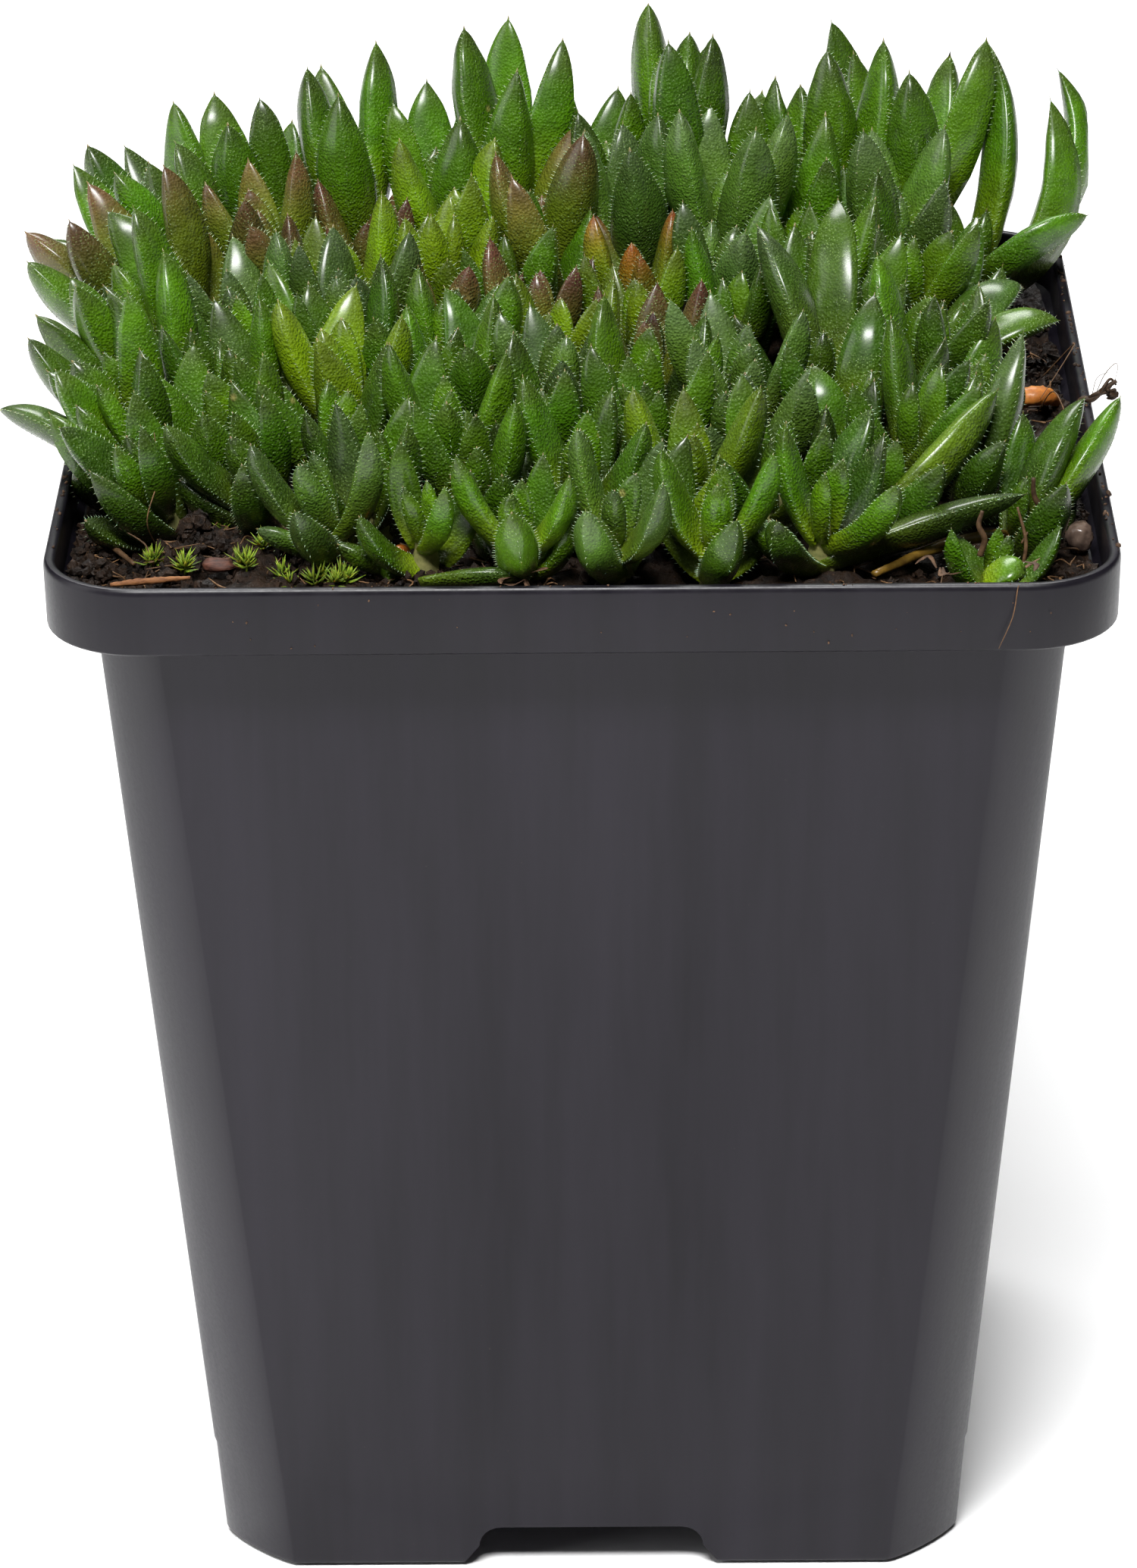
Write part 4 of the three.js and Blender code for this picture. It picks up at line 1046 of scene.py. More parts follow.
def plastic_material(name):
    """Streaks down the walls, painted shade on the rim band, grain and specks of dust."""
    surface = Surface(name)
    streak = surface.noise(3.2, 3, 0.6, surface.stretched(1, 1, 0.03))
    broad = surface.noise(12, 2, 0.5, surface.stretched(1, 1, 0.05))
    grain = surface.noise(0.35, 2)
    shade = surface.maths("ADD", surface.span(streak, 0.3, 0.7, -0.35, 0.35),
                          surface.span(broad, 0.3, 0.7, -0.3, 0.3))
    share = surface.maths("ADD", shade, 0.5)
    colour = surface.mix(share, (0.0056, 0.0045, 0.0080), (0.0144, 0.0123, 0.0186))
    # Painted shade: the rim band is darker than the walls below it
    band = surface.span(surface.height(), *BAND_FOOT, 1.0, RIM_BAND_PAINTED_SHADE)
    colour = surface.multiply(colour, surface.grey(band))
    dust = surface.span(surface.noise(0.5, 4, 0.7), 0.70, 0.80, 0.0, 0.35)
    colour = surface.mix(dust, colour, (0.10, 0.08, 0.065))
    rough = surface.maths("ADD", surface.span(streak, 0.3, 0.7, 0.34, 0.46),
                          surface.span(grain, 0.3, 0.7, -0.03, 0.03))
    surface.set(Base_Color=colour, Roughness=rough, Specular_IOR_Level=0.24)
    surface.set(Coat_Weight=0.06, Coat_Roughness=0.15)
    surface.relief((broad, 0.10), (streak, 0.025), (grain, 0.006))
    return surface.material


def soil_material(name):
    surface = Surface(name)
    clod = surface.noise(1.4, 5, 0.65)
    colour = surface.mix(surface.span(clod, 0.35, 0.7), (0.0046, 0.0025, 0.0014), (0.024, 0.0120, 0.0058))
    fleck = surface.span(surface.cells(0.8), 0.06, 0.16, 0.55, 0.0)
    colour = surface.mix(fleck, colour, (0.085, 0.042, 0.022))
    colour = surface.multiply(colour, surface.tone())
    surface.set(Base_Color=colour, Roughness=surface.span(surface.noise(0.5, 3), 0.35, 0.65, 0.3, 0.95))
    surface.set(Specular_IOR_Level=0.22)
    surface.relief((surface.noise(0.7, 5, 0.7), 0.3), (surface.noise(0.2, 3, 0.7), 0.08))
    return surface.material


def plain_material(name, dark, light, size, rough, depth, stretch=None, coat=0.0, subsurface=0.0):
    """Two colours in a grain that can be drawn out along one direction, times the piece's own tone."""
    surface = Surface(name)
    where = surface.stretched(*stretch) if stretch else None
    grain = surface.noise(size, 4, 0.6, where)
    colour = surface.mix(surface.span(grain, 0.3, 0.7), dark, light)
    colour = surface.multiply(colour, surface.tone())
    surface.set(Base_Color=colour, Roughness=rough, Specular_IOR_Level=0.3)
    surface.set(Coat_Weight=coat, Coat_Roughness=0.15)
    if subsurface:
        surface.set(Subsurface_Weight=subsurface, Subsurface_Scale=0.0008)
    surface.relief((grain, depth))
    return surface.material


LEAF = leaf_material("leaf")
TOOTH = tooth_material("tooth")
PLASTIC = plastic_material("plastic")
SOIL = soil_material("soil")
STEM = plain_material("stem", (0.09, 0.10, 0.03), (0.28, 0.26, 0.10), 1.2, 0.55, 0.05)
MOSS = plain_material("moss", (0.055, 0.12, 0.006), (0.24, 0.31, 0.025), 0.7, 0.5, 0.02,
                      subsurface=0.15)
FIBRE = plain_material("fibre", (0.06, 0.028, 0.011), (0.20, 0.110, 0.050), 0.6, 0.6, 0.02)
BARK = plain_material("bark", (0.022, 0.007, 0.004), (0.105, 0.036, 0.020), 0.3, 0.6, 0.16,
                      stretch=(0.25, 1, 1))
TWIG_BARK = plain_material("twig_bark", (0.09, 0.030, 0.010), (0.29, 0.125, 0.042), 0.4, 0.7, 0.08,
                           stretch=(0.3, 1, 1))
RUST = plain_material("rust", (0.36, 0.08, 0.008), (0.62, 0.21, 0.03), 0.8, 0.3, 0.03,
                      coat=0.5, subsurface=0.2)
DEAD = plain_material("dead", (0.27, 0.075, 0.010), (0.50, 0.19, 0.035), 0.8, 0.55, 0.08,
                      coat=0.1, subsurface=0.15)
BEAD_BROWN = plain_material("bead_brown", (0.055, 0.035, 0.027), (0.15, 0.105, 0.08), 0.9, 0.32, 0.05,
                            coat=0.4)
RUNNER_SKIN = plain_material("runner_skin", (0.085, 0.042, 0.006), (0.21, 0.125, 0.018), 0.9, 0.4, 0.03,
                             coat=0.2)
DRY = plain_material("dry", (0.030, 0.015, 0.008), (0.15, 0.083, 0.045), 0.5, 0.7, 0.04)


# Foliage. The runner is the bare old stem, a little thinner than in the solids.

WHITE = (1, 1, 1)
STEM_DEPTH = 2.0
STEM_RADII = [STEM_RADIUS, STEM_RADIUS, STEM_RADIUS * 1.1, 0.5]
BRANCH_RADII = [0.95, 0.8, 0.95]
BRANCH_SAG = 0.5
RUNNER_SHOOT = 49
RUNNER = [(37, -26, 95), (35.6, -27, 97.2), (30.1, -30.7, 97.7), (24.4, -36.9, 97.8)]
RUNNER_RADII = [0.66, 0.62, 0.5, 0.55, 0.42, 0.3]


def stem_parts(build, number, rng):
    """The stems of a shoot's heads, and branches on the soil from the first head to the others."""
    rows = rows_of(number)
    root_row = rows[0]
    for row in rows:
        x, y, pairs = row[1], row[2], row[6]
        foot = head_foot(row)
        top = foot + head_axis(row) * max(pairs, 1) * PAIR_STEP
        start = np.array([x, y, soil_top(x, y) - STEM_DEPTH])
        path = smooth_path([start, (start + foot) / 2, foot, top], 4)
        tube(build, path, STEM_RADII, WHITE, STEM_SLOT, 9, rough=0.05, rng=rng)
        if row is not root_row:
            ends = [np.array([r[1], r[2], soil_top(r[1], r[2]) + BRANCH_RISE]) for r in (root_row, row)]
            sag = (ends[0] + ends[1]) / 2 - [0, 0, BRANCH_SAG]
            path = smooth_path([ends[0], sag, ends[1]], 6)
            tube(build, path, BRANCH_RADII, WHITE, STEM_SLOT, 8, rough=0.06, rng=rng)


def shoot_piece(number):
    rng = draws("shoots", number)
    build = Build()
    for leaves, mesh in ((main_leaves, MAIN_MESH), (small_leaves, SMALL_MESH)):
        for leaf in leaves:
            if leaf["shoot"] == number:
                leaf_skin(build, leaf, rng, mesh)
    stem_parts(build, number, rng)
    materials = [LEAF, TOOTH, STEM]
    if number == RUNNER_SHOOT:
        tube(build, smooth_path(RUNNER, 10), RUNNER_RADII, WHITE, RUNNER_SLOT, 10, rough=0.06, rng=rng)
        materials.append(RUNNER_SKIN)
    name = f"shoot_{number:02d}"
    piece = build.piece(f"leaves_{number:02d}", materials)
    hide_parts(name)


for shoot_number in sorted({row[0] for row in HEADS}):
    shoot_piece(shoot_number)


# Pot

EDGE = 0.5
EDGE_RISE = 0.6
BAND_SLOPE = 0.3
RIM_EASE = 0.35
LEDGE_SLOPE = 0.6
LEDGE_RISE = 0.7
LEDGE_DROP = 0.15
RIM_DRAFT = 0.1
RIM_FLARE = 0.4
LIP_OUT = 0.36
LIP_HEIGHT = 0.42
NECK = 0.8
CORNER_SHARE = 0.6
RIM_FOOT = POT_HEIGHT - RIM_BAND
CUT_REACH = 13
DRAIN_INSET = 1.5
DRAIN_HALF = 3
DRAIN_SIDES = 24
CLEAR = 1
SHARP_ANGLE = 24


def quarter_arc(steps):
    """Cosine and sine at even steps from 0 to 90 degrees."""
    angles = [k / steps * math.pi / 2 for k in range(steps + 1)]
    return [(math.cos(a), math.sin(a)) for a in angles]


def square_ring(half, cut, power, z):
    """A square outline whose corners are arcs, or soft chamfers where the power is lower."""
    ring = []
    for quarter in range(4):
        turn = Matrix.Rotation(quarter * math.pi / 2, 3, "Z")
        for i in range(CORNER_STEPS + 1):
            angle = i / CORNER_STEPS * math.pi / 2
            x = half - cut + cut * max(math.cos(angle), 0) ** (2 / power)
            y = half - cut + cut * math.sin(angle) ** (2 / power)
            ring.append(turn @ Vector((x, y, z)))
    return np.array(ring)


def body_half(z):
    return BASE_HALF + (BODY_TOP_HALF - BASE_HALF) * z / RIM_FOOT


def body_ring(z, inset):
    cut = BODY_CORNER_BASE + (BODY_CORNER_TOP - BODY_CORNER_BASE) * z / RIM_FOOT
    return square_ring(body_half(z) - inset, cut - inset * CORNER_SHARE, CHAMFER, z)


def loft(rings, build=None, turn=np.eye(3)):
    """A closed body through rings of equally many points, in a build of its own or with others."""
    build = build or Build()
    count, around = len(rings), len(rings[0])
    points = np.vstack([*rings, rings[0].mean(0), rings[-1].mean(0)]) @ turn.T
    caps = [fan(0, around, count * around, True), fan((count - 1) * around, around, count * around + 1)]
    build.add(points, [ring_faces(count, around), np.vstack(caps)])
    return build


def cavity_rings():
    ledge = RIM_FOOT + LEDGE
    corner = RIM_CORNER - WALL
    inner = RIM_HALF - WALL
    rings = [
        body_ring(WALL, WALL),
        body_ring(RIM_FOOT, WALL),
        square_ring(body_half(ledge) - WALL, BODY_CORNER_TOP, CHAMFER, ledge - LEDGE_DROP),
        square_ring(inner - LEDGE_SLOPE, corner, ARC, ledge),
        square_ring(inner, corner, ARC, ledge + LEDGE_RISE),
    ]
    for c, s in quarter_arc(5):
        out = LIP_OUT * (1 - c)
        z = POT_HEIGHT - LIP_HEIGHT + LIP_HEIGHT * s
        rings.append(square_ring(inner + RIM_DRAFT + out, corner + out, ARC, z))
    rings.append(square_ring(inner + RIM_DRAFT + LIP_OUT, corner + LIP_OUT, ARC, POT_HEIGHT + CLEAR))
    return rings


def outer_rings():
    rings = [body_ring(EDGE_RISE * (1 - c), EDGE * (1 - s)) for c, s in quarter_arc(3)]
    rings += [
        body_ring(FOOT_BAND - BAND_SLOPE, FOOT_STEP),
        body_ring(FOOT_BAND + BAND_SLOPE, 0),
        body_ring(RIM_FOOT - NECK, 0),
        square_ring(BODY_TOP_HALF + EDGE, BODY_CORNER_TOP + RIM_DRAFT, CHAMFER, RIM_FOOT),
    ]
    for c, s in quarter_arc(4):
        out = EDGE * s
        z = RIM_FOOT + RIM_FLARE * (1 - c)
        rings.append(square_ring(RIM_HALF - RIM_DRAFT - EDGE + out, RIM_CORNER - EDGE + out, ARC, z))
    for c, s in quarter_arc(5):
        ease_in = RIM_EASE * (1 - c)
        z = POT_HEIGHT - EDGE_RISE * (1 - s)
        rings.append(square_ring(RIM_HALF - ease_in, RIM_CORNER - ease_in, ARC, z))
    return rings


def notch_outline(grow):
    half, top = NOTCH_HALF_TOP + grow, NOTCH_HEIGHT + grow
    outline = [(-NOTCH_HALF_BASE - grow, -CLEAR), (NOTCH_HALF_BASE + grow, -CLEAR)]
    outline += [(half - NOTCH_ROUND * (1 - c), top - NOTCH_ROUND * (1 - s)) for c, s in quarter_arc(6)]
    outline += [(-x, z) for x, z in reversed(outline[2:])]
    return outline


def drain_outline():
    return [(DRAIN_RADIUS * math.cos(a), NOTCH_HEIGHT + DRAIN_RADIUS * math.sin(a))
            for a in np.arange(DRAIN_SIDES) * math.pi / (DRAIN_SIDES // 2)]


def cutter(name, outline, near, far):
    """An outline across X and Z, drawn out along Y and turned to each side of the pot."""
    rings = [np.array([(x, y, z) for x, z in outline]) for y in (near, far)]
    build = Build()
    for quarter in range(4):
        loft(rings, build, np.array(Matrix.Rotation(quarter * math.pi / 2, 3, "Z")))
    return build.piece(name, [], smooth=False)


def carve(target, tool):
    modifier = target.modifiers.new("carve", "BOOLEAN")
    modifier.operation = "DIFFERENCE"
    modifier.solver = "EXACT"
    modifier.object = tool
    bpy.context.view_layer.update()
    shape = target.evaluated_get(bpy.context.evaluated_depsgraph_get())
    mesh = bpy.data.meshes.new_from_object(shape)
    target.modifiers.clear()
    target.data = mesh
    bpy.data.objects.remove(tool)


def turned_out(piece):
    """Faces the normals outwards."""
    work = bmesh.new()
    work.from_mesh(piece.data)
    bmesh.ops.recalc_face_normals(work, faces=work.faces)
    work.to_mesh(piece.data)
    work.free()


def pot_piece():
    pot = loft(outer_rings()).piece("pot_moulded", [PLASTIC])
    hollow = loft(cavity_rings()).piece("hollow", [])
    near = BASE_HALF - NOTCH_DEPTH
    drain = near + DRAIN_RADIUS + DRAIN_INSET
    humps = cutter("humps", notch_outline(WALL), near - WALL, near + CUT_REACH)
    notches = cutter("notches", notch_outline(0), near, near + CUT_REACH)
    drains = cutter("drains", drain_outline(), drain - DRAIN_HALF, drain + DRAIN_HALF)
    for piece in (pot, hollow, humps, notches, drains):
        turned_out(piece)
    carve(hollow, humps)
    carve(pot, hollow)
    carve(pot, notches)
    carve(pot, drains)
    pot.data.polygons.foreach_set("use_smooth", [True] * len(pot.data.polygons))
    pot.data.set_sharp_from_angle(angle=math.radians(SHARP_ANGLE))
    if not pot.data.materials:
        pot.data.materials.append(PLASTIC)
    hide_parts("pot")


pot_piece()


# Soil

SOIL_GRID = 200
SOIL_FOOT = 6.0
LEDGE_START = 38.6
LEDGE_FADE = 1.6
LEDGE_COVER = 95.9
BED_HALF = RIM_HALF - WALL - GAP - LEDGE_SLOPE
BED_RISE = 0.25
SKIRT_HEIGHTS = (RIM_FOOT + 0.4, RIM_FOOT - 1, SOIL_FOOT)
SKIRT_GAP = 0.1
SOIL_RELIEF = [
    # size, height, seed
    (4.5, 0.6, 1),
    (1.9, 0.6, 2),
    (1.0, 0.5, 3),
    (0.6, 0.3, 4),
]
CLEAR_PLACES = [
    # x, y, radius: under the litter the soil stays low and has few crumbs
    (-38.6, -39.2, 1.3),
    (-36.8, -39.5, 1.3),
    (-35.0, -39.7, 1.3),
    (-33.2, -39.7, 1.3),
    (-30.3, -36.8, 1.5),
    (-30.3, -38.2, 1.1),
    (-15.2, -34.4, 2.0),
    (42.2, -28.4, 2.2),
    (40.0, 3.2, 2.6),
]
CLEAR_DROP = 0.3
CLEAR_RELIEF = (0.7, 0.3, 4)


def bed_top(x, y):
    """The soil without its crumbs. It also covers the ledge inside the rim."""
    reach = np.maximum(abs(x), abs(y))
    share = ease(np.clip((reach - LEDGE_START) / LEDGE_FADE, 0, 1))
    low = soil_top(x, y)
    return low + (np.maximum(low, LEDGE_COVER) - low) * share


def soil_surface(x, y):
    points = np.column_stack([x, y, np.zeros(len(x))])
    z = bed_top(x, y) + BED_RISE
    for size, height, seed in SOIL_RELIEF:
        z = z + height * lattice_noise(points, size, seed)
    size, height, seed = CLEAR_RELIEF
    for clear_x, clear_y, radius in CLEAR_PLACES:
        share = np.exp(-(((x - clear_x) ** 2 + (y - clear_y) ** 2) / radius ** 2) ** 2)
        z = z + (bed_top(x, y) - CLEAR_DROP + height * lattice_noise(points, size, seed) - z) * share
    return z


def rounded_square(u, v, half, corner):
    """A square grid of points drawn smoothly into a square with round corners."""
    size = np.maximum(abs(u), abs(v))
    safe = np.maximum(size, 1e-9)
    x, y = u / safe * half, v / safe * half
    inner = half - corner
    cx, cy = x - np.sign(x) * inner, y - np.sign(y) * inner
    at_corner = (abs(x) > inner) & (abs(y) > inner)
    far = np.maximum(np.hypot(cx, cy), 1e-9)
    x = np.where(at_corner, np.sign(x) * inner + cx / far * corner, x)
    y = np.where(at_corner, np.sign(y) * inner + cy / far * corner, y)
    return x * size, y * size


def soil_piece():
    """The bed's relief as a grid, and a skirt down to its foot."""
    n = SOIL_GRID + 1
    u, v = np.meshgrid(np.linspace(-1, 1, n), np.linspace(-1, 1, n), indexing="ij")
    x, y = rounded_square(u.ravel(), v.ravel(), BED_HALF, RIM_CORNER - WALL)
    points = np.column_stack([x, y, soil_surface(x, y)])
    i, j = np.meshgrid(np.arange(n - 1), np.arange(n - 1), indexing="ij")
    a = (i * n + j).ravel()
    quads = np.column_stack([a, a + n, a + n + 1, a + 1])
    index = np.arange(n * n).reshape(n, n)
    edge = np.concatenate([index[:-1, 0], index[-1, :-1], index[:0:-1, -1], index[0, :0:-1]])
    around = len(edge)
    rim = points[edge]
    build = Build()
    build.add(points, [quads])
    skirts = []
    for z in SKIRT_HEIGHTS:
        share = (body_half(z) - WALL - GAP - SKIRT_GAP) / BED_HALF
        skirts.append(np.column_stack([rim[:, :2] * share, np.full(around, z)]))
    wall = np.vstack([rim, *skirts, [0, 0, SOIL_FOOT]])
    build.add(wall, [ring_faces(4, around)[:, ::-1], fan(3 * around, around, 4 * around)])
    piece = build.piece("soil_bed", [SOIL])
    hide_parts("soil")


def ball_mesh(rounds):
    """Points and triangles of a ball."""
    work = bmesh.new()
    bmesh.ops.create_icosphere(work, subdivisions=rounds, radius=1)
    points = np.array([vert.co for vert in work.verts])
    faces = np.array([[vert.index for vert in face.verts] for face in work.faces])
    work.free()
    return points, faces


SMALL_BALL = ball_mesh(1)
BALL = ball_mesh(2)
FINE_BALL = ball_mesh(4)

ANY_TURN = (0, 6.3)
CRUMB_ROUGH = 0.75
CRUMB_NOISE = (0.5, 9)
CRUMB_STRETCH = (0.55, 1.2)
CRUMB_INSET = 0.9
CRUMB_SIZES = (0.35, 1)
SIZE_POWER = 1.8
CRUMB_RISE = 0.2
CRUMB_SUNK = 0.3
CRUMB_SHADES = (0.5, 1.5)
FINE_CRUMB = 0.3
LOOSE_CRUMBS = 300
LOOSE_INSET = 4
LOOSE_SIZES = (0.2, 0.6)
LOOSE_SHADES = (0.7, 1.4)
BED_FLAT = 0.7
BED_CORNER = 6
CLEAR_SHARE = 0.75
FIBRE_INSET = 2.5
FIBRE_PART = 6
FIBRE_RISE = (0.4, 1.1)
FIBRE_TILT = 0.15
FIBRE_LENGTHS = (1.2, 4.2)
FIBRE_BEND = 0.25
FIBRE_RADII = [0.05, 0.09, 0.04]
FIBRE_SHADES = (0.5, 1.3)
CRUMB_BEDS = [
    # x, y, spread, count, largest, heap: places where the soil shows
    (-33, -34, 5.5, 240, 0.7, 1.0),
    (-32.3, -31, 1.9, 190, 0.7, 3.0),
    (-25.3, -31.7, 1.3, 90, 0.6, 1.8),
    (-40, -26, 1.5, 60, 0.5, 1.2),
    (-22, -37, 4.5, 200, 0.7, 1.4),
    (-14, -38.5, 3.5, 150, 0.6, 1.2),
    (-41, -34, 2.6, 220, 0.7, 1.8),
    (-42, -39, 2.4, 160, 0.6, 1.6),
    (-43, -25, 2.0, 120, 0.6, 1.6),
    (-40, -28, 3.0, 150, 0.7, 1.2),
    (40, -36, 3.0, 220, 0.7, 1.0),
    (42, -22, 4.0, 220, 0.6, 1.0),
    (41, -10, 4.0, 220, 0.7, 1.0),
    (41, 4, 4.0, 240, 0.7, 1.0),
    (41, 18, 4.0, 200, 0.7, 1.0),
    (38, 30, 3.0, 100, 0.6, 0.8),
    (28, -39, 4.5, 140, 0.6, 0.9),
    (0, -40, 9.0, 160, 0.6, 0.9),
]


def crumb(build, place, radius, rng, shape, shade):
    points, faces = shape
    turn = np.array(Matrix.Rotation(rng.uniform(*ANY_TURN), 3, Vector(rng.normal(0, 1, 3))))
    lumps = lattice_noise(points + rng.uniform(0, 90, 3), *CRUMB_NOISE)
    body = points * (1 + CRUMB_ROUGH * lumps)[:, None]
    body = body * rng.uniform(*CRUMB_STRETCH, 3) * radius
    build.add(body @ turn.T + place, [faces], np.full(3, shade))


def bed_place(rng, bed_x, bed_y, spread, inside):
    """A place in a bed of crumbs, or None outside the pot's round corner and under the litter."""
    x = float(np.clip(bed_x + rng.normal(0, spread), -inside, inside))
    y = float(np.clip(bed_y + rng.normal(0, spread * BED_FLAT), -inside, inside))
    over_x, over_y = abs(x) - inside + BED_CORNER, abs(y) - inside + BED_CORNER
    if min(over_x, over_y) > 0 and math.hypot(over_x, over_y) > BED_CORNER:
        return None
    for clear_x, clear_y, radius in CLEAR_PLACES:
        if math.hypot(x - clear_x, y - clear_y) < radius * CLEAR_SHARE:
            return None
    return x, y


def crumb_piece():
    rng = draws("crumbs")
    build = Build()
    inside = RIM_HALF - WALL - GAP - CRUMB_INSET
    for bed_x, bed_y, spread, count, largest, heap in CRUMB_BEDS:
        for _ in range(count):
            place = bed_place(rng, bed_x, bed_y, spread, inside)
            if place is None:
                continue
            x, y = place
            radius = rng.uniform(*CRUMB_SIZES) ** SIZE_POWER * largest
            near = math.exp(-((x - bed_x) ** 2 + (y - bed_y) ** 2) / spread ** 2)
            z = bed_top(x, y) + CRUMB_RISE + radius * CRUMB_SUNK + rng.random() * heap * near
            shape = BALL if radius > FINE_CRUMB else SMALL_BALL
            crumb(build, np.array([x, y, z]), radius, rng, shape, rng.uniform(*CRUMB_SHADES))
    for _ in range(LOOSE_CRUMBS):
        x, y = rng.uniform(-inside + LOOSE_INSET, inside - LOOSE_INSET, 2)
        radius = rng.uniform(*LOOSE_SIZES)
        place = np.array([x, y, bed_top(x, y) + radius * CRUMB_SUNK])
        crumb(build, place, radius, rng, SMALL_BALL, rng.uniform(*LOOSE_SHADES))
    build.piece("soil_crumbs", [SOIL], smooth=False)


def fibre_piece():
    """Peat fibres among the crumbs."""
    rng = draws("fibres")
    build = Build()
    inside = RIM_HALF - WALL - GAP - FIBRE_INSET
    for bed_x, bed_y, spread, count, _, _ in CRUMB_BEDS:
        for _ in range(count // FIBRE_PART):
            place = bed_place(rng, bed_x, bed_y, spread, inside)
            if place is None:
                continue
            x, y = place
            start = np.array([x, y, bed_top(x, y) + rng.uniform(*FIBRE_RISE)])
            run = unit(np.append(rng.normal(0, 1, 2), rng.normal(0, FIBRE_TILT)))
            long = rng.uniform(*FIBRE_LENGTHS)
            bend = rng.normal(0, FIBRE_BEND, 3) * long * [1, 1, 0.4]
            path = smooth_path([start, start + run * long / 2 + bend, start + run * long], 4)
            path[:, :2] = np.clip(path[:, :2], -inside - 1, inside + 1)
            tube(build, path, FIBRE_RADII, np.full(3, rng.uniform(*FIBRE_SHADES)), 0, 5)
    build.piece("soil_fibres", [FIBRE])


soil_piece()
crumb_piece()
fibre_piece()


# Moss

MOSS_TUFTS = [
    # x, y, spread, rosettes
    (-35.8, -33.6, 0.8, 2),
    (-33.5, -36.3, 0.8, 2),
    (-28.2, -37.4, 0.8, 2),
    (-27.0, -33.4, 0.8, 2),
    (-24.6, -38.8, 0.9, 2),
    (-22.2, -39.0, 1.2, 3),
    (-20.0, -38.6, 1.0, 3),
    (-31.0, -26.5, 0.8, 2),
    (34.5, 9.5, 1.0, 2),
    (36.5, -12.0, 1.0, 2),
]
MOSS_RINGS = 3
MOSS_LEAVES = 6
MOSS_SCATTER = (0.6, 0.45)
MOSS_RISE = 0.5
MOSS_TILT = 0.25
MOSS_HEIGHTS = (0.7, 1.5)
MOSS_SHADES = (0.75, 1.3)
MOSS_STALK = [0.12, 0.09]
MOSS_BLADE = [0.06, 0.21, 0.012]
MOSS_LENGTHS = (1.0, 1.7)
MOSS_TURN = 0.5
MOSS_TURN_PLAY = 0.2
MOSS_LEAN = 76
MOSS_LEAN_STEP = 24
MOSS_LEAN_PLAY = 8


def moss_leaf(build, rng, foot, axis, height, tint, ring, k):
    """One leaf of a rosette. The inner rings stand higher, steeper and lighter."""
    angle = k * 2 * math.pi / MOSS_LEAVES + ring * MOSS_TURN + rng.normal(0, MOSS_TURN_PLAY)
    lean = math.radians(MOSS_LEAN - MOSS_LEAN_STEP * ring + rng.normal(0, MOSS_LEAN_PLAY))
    run = axis * math.cos(lean) + outward(axis, angle) * math.sin(lean)
    start = foot + axis * height * (0.45 + 0.18 * ring)
    long = rng.uniform(*MOSS_LENGTHS) * (1 - 0.1 * ring)
    middle = start + run * long * 0.45
    end = start + run * long + axis * 0.2 * long
    tube(build, [start, middle, end], MOSS_BLADE, tint * (0.75 + 0.2 * ring), 0, 4, squash=0.4)


def moss_piece():
    rng = draws("moss")
    build = Build()
    for tuft_x, tuft_y, spread, count in MOSS_TUFTS:
        for _ in range(count):
            x, y = (at + rng.normal(0, spread * share)
                    for at, share in zip((tuft_x, tuft_y), MOSS_SCATTER))
            foot = np.array([x, y, soil_top(x, y) + MOSS_RISE])
            axis = unit(np.array([rng.normal(0, MOSS_TILT), rng.normal(0, MOSS_TILT), 1]))
            height = rng.uniform(*MOSS_HEIGHTS)
            tint = np.full(3, rng.uniform(*MOSS_SHADES))
            tube(build, [foot, foot + axis * height], MOSS_STALK, tint * 0.7, 0, 5)
            for ring in range(MOSS_RINGS):
                for k in range(MOSS_LEAVES):
                    moss_leaf(build, rng, foot, axis, height, tint, ring, k)
    build.piece("moss", [MOSS])


moss_piece()


# Litter

# The twig is thinner than in the part's source and up to a millimetre higher, so that it shows over the
# rim. The dead leaf is thicker in its middle.

CHIP_PLACE = (-30.3, -36.6)
CHIP_SIZE = (2.9, 1.9, 1.2)
CHIP_TURN = -0.15
CHIP_TAPER = 0.35
CHIP_BLUNT = (0.8, 0.9, 0.9)
CHIP_RIDGES = (0.5, 6, 6)
TWIG = [(-39.3, -38.6, 98.0), (-36, -39.0, 98.5), (-32.6, -39.1, 98.8)]
TWIG_RADII = [0.16, 0.3, 0.26, 0.14]
DEAD_LEAF = [(37.2, 5.8, 95.2), (38, 4, 97.2), (39.6, 2.6, 98.7), (41.3, 3, 98.6), (42.4, 4.4, 97.4)]
DEAD_LEAF_RADII = [0.6, 1.0, 1.1, 1.0, 0.45]
ROOT_CLUMP = (46.75, -3.2, 100.95)
CLUMP_CRUMBS = 12
CLUMP_SPREAD = 0.2
CLUMP_SIZE = 0.27
CLUMP_SHADE = 0.22
HAIR_END = 0.6
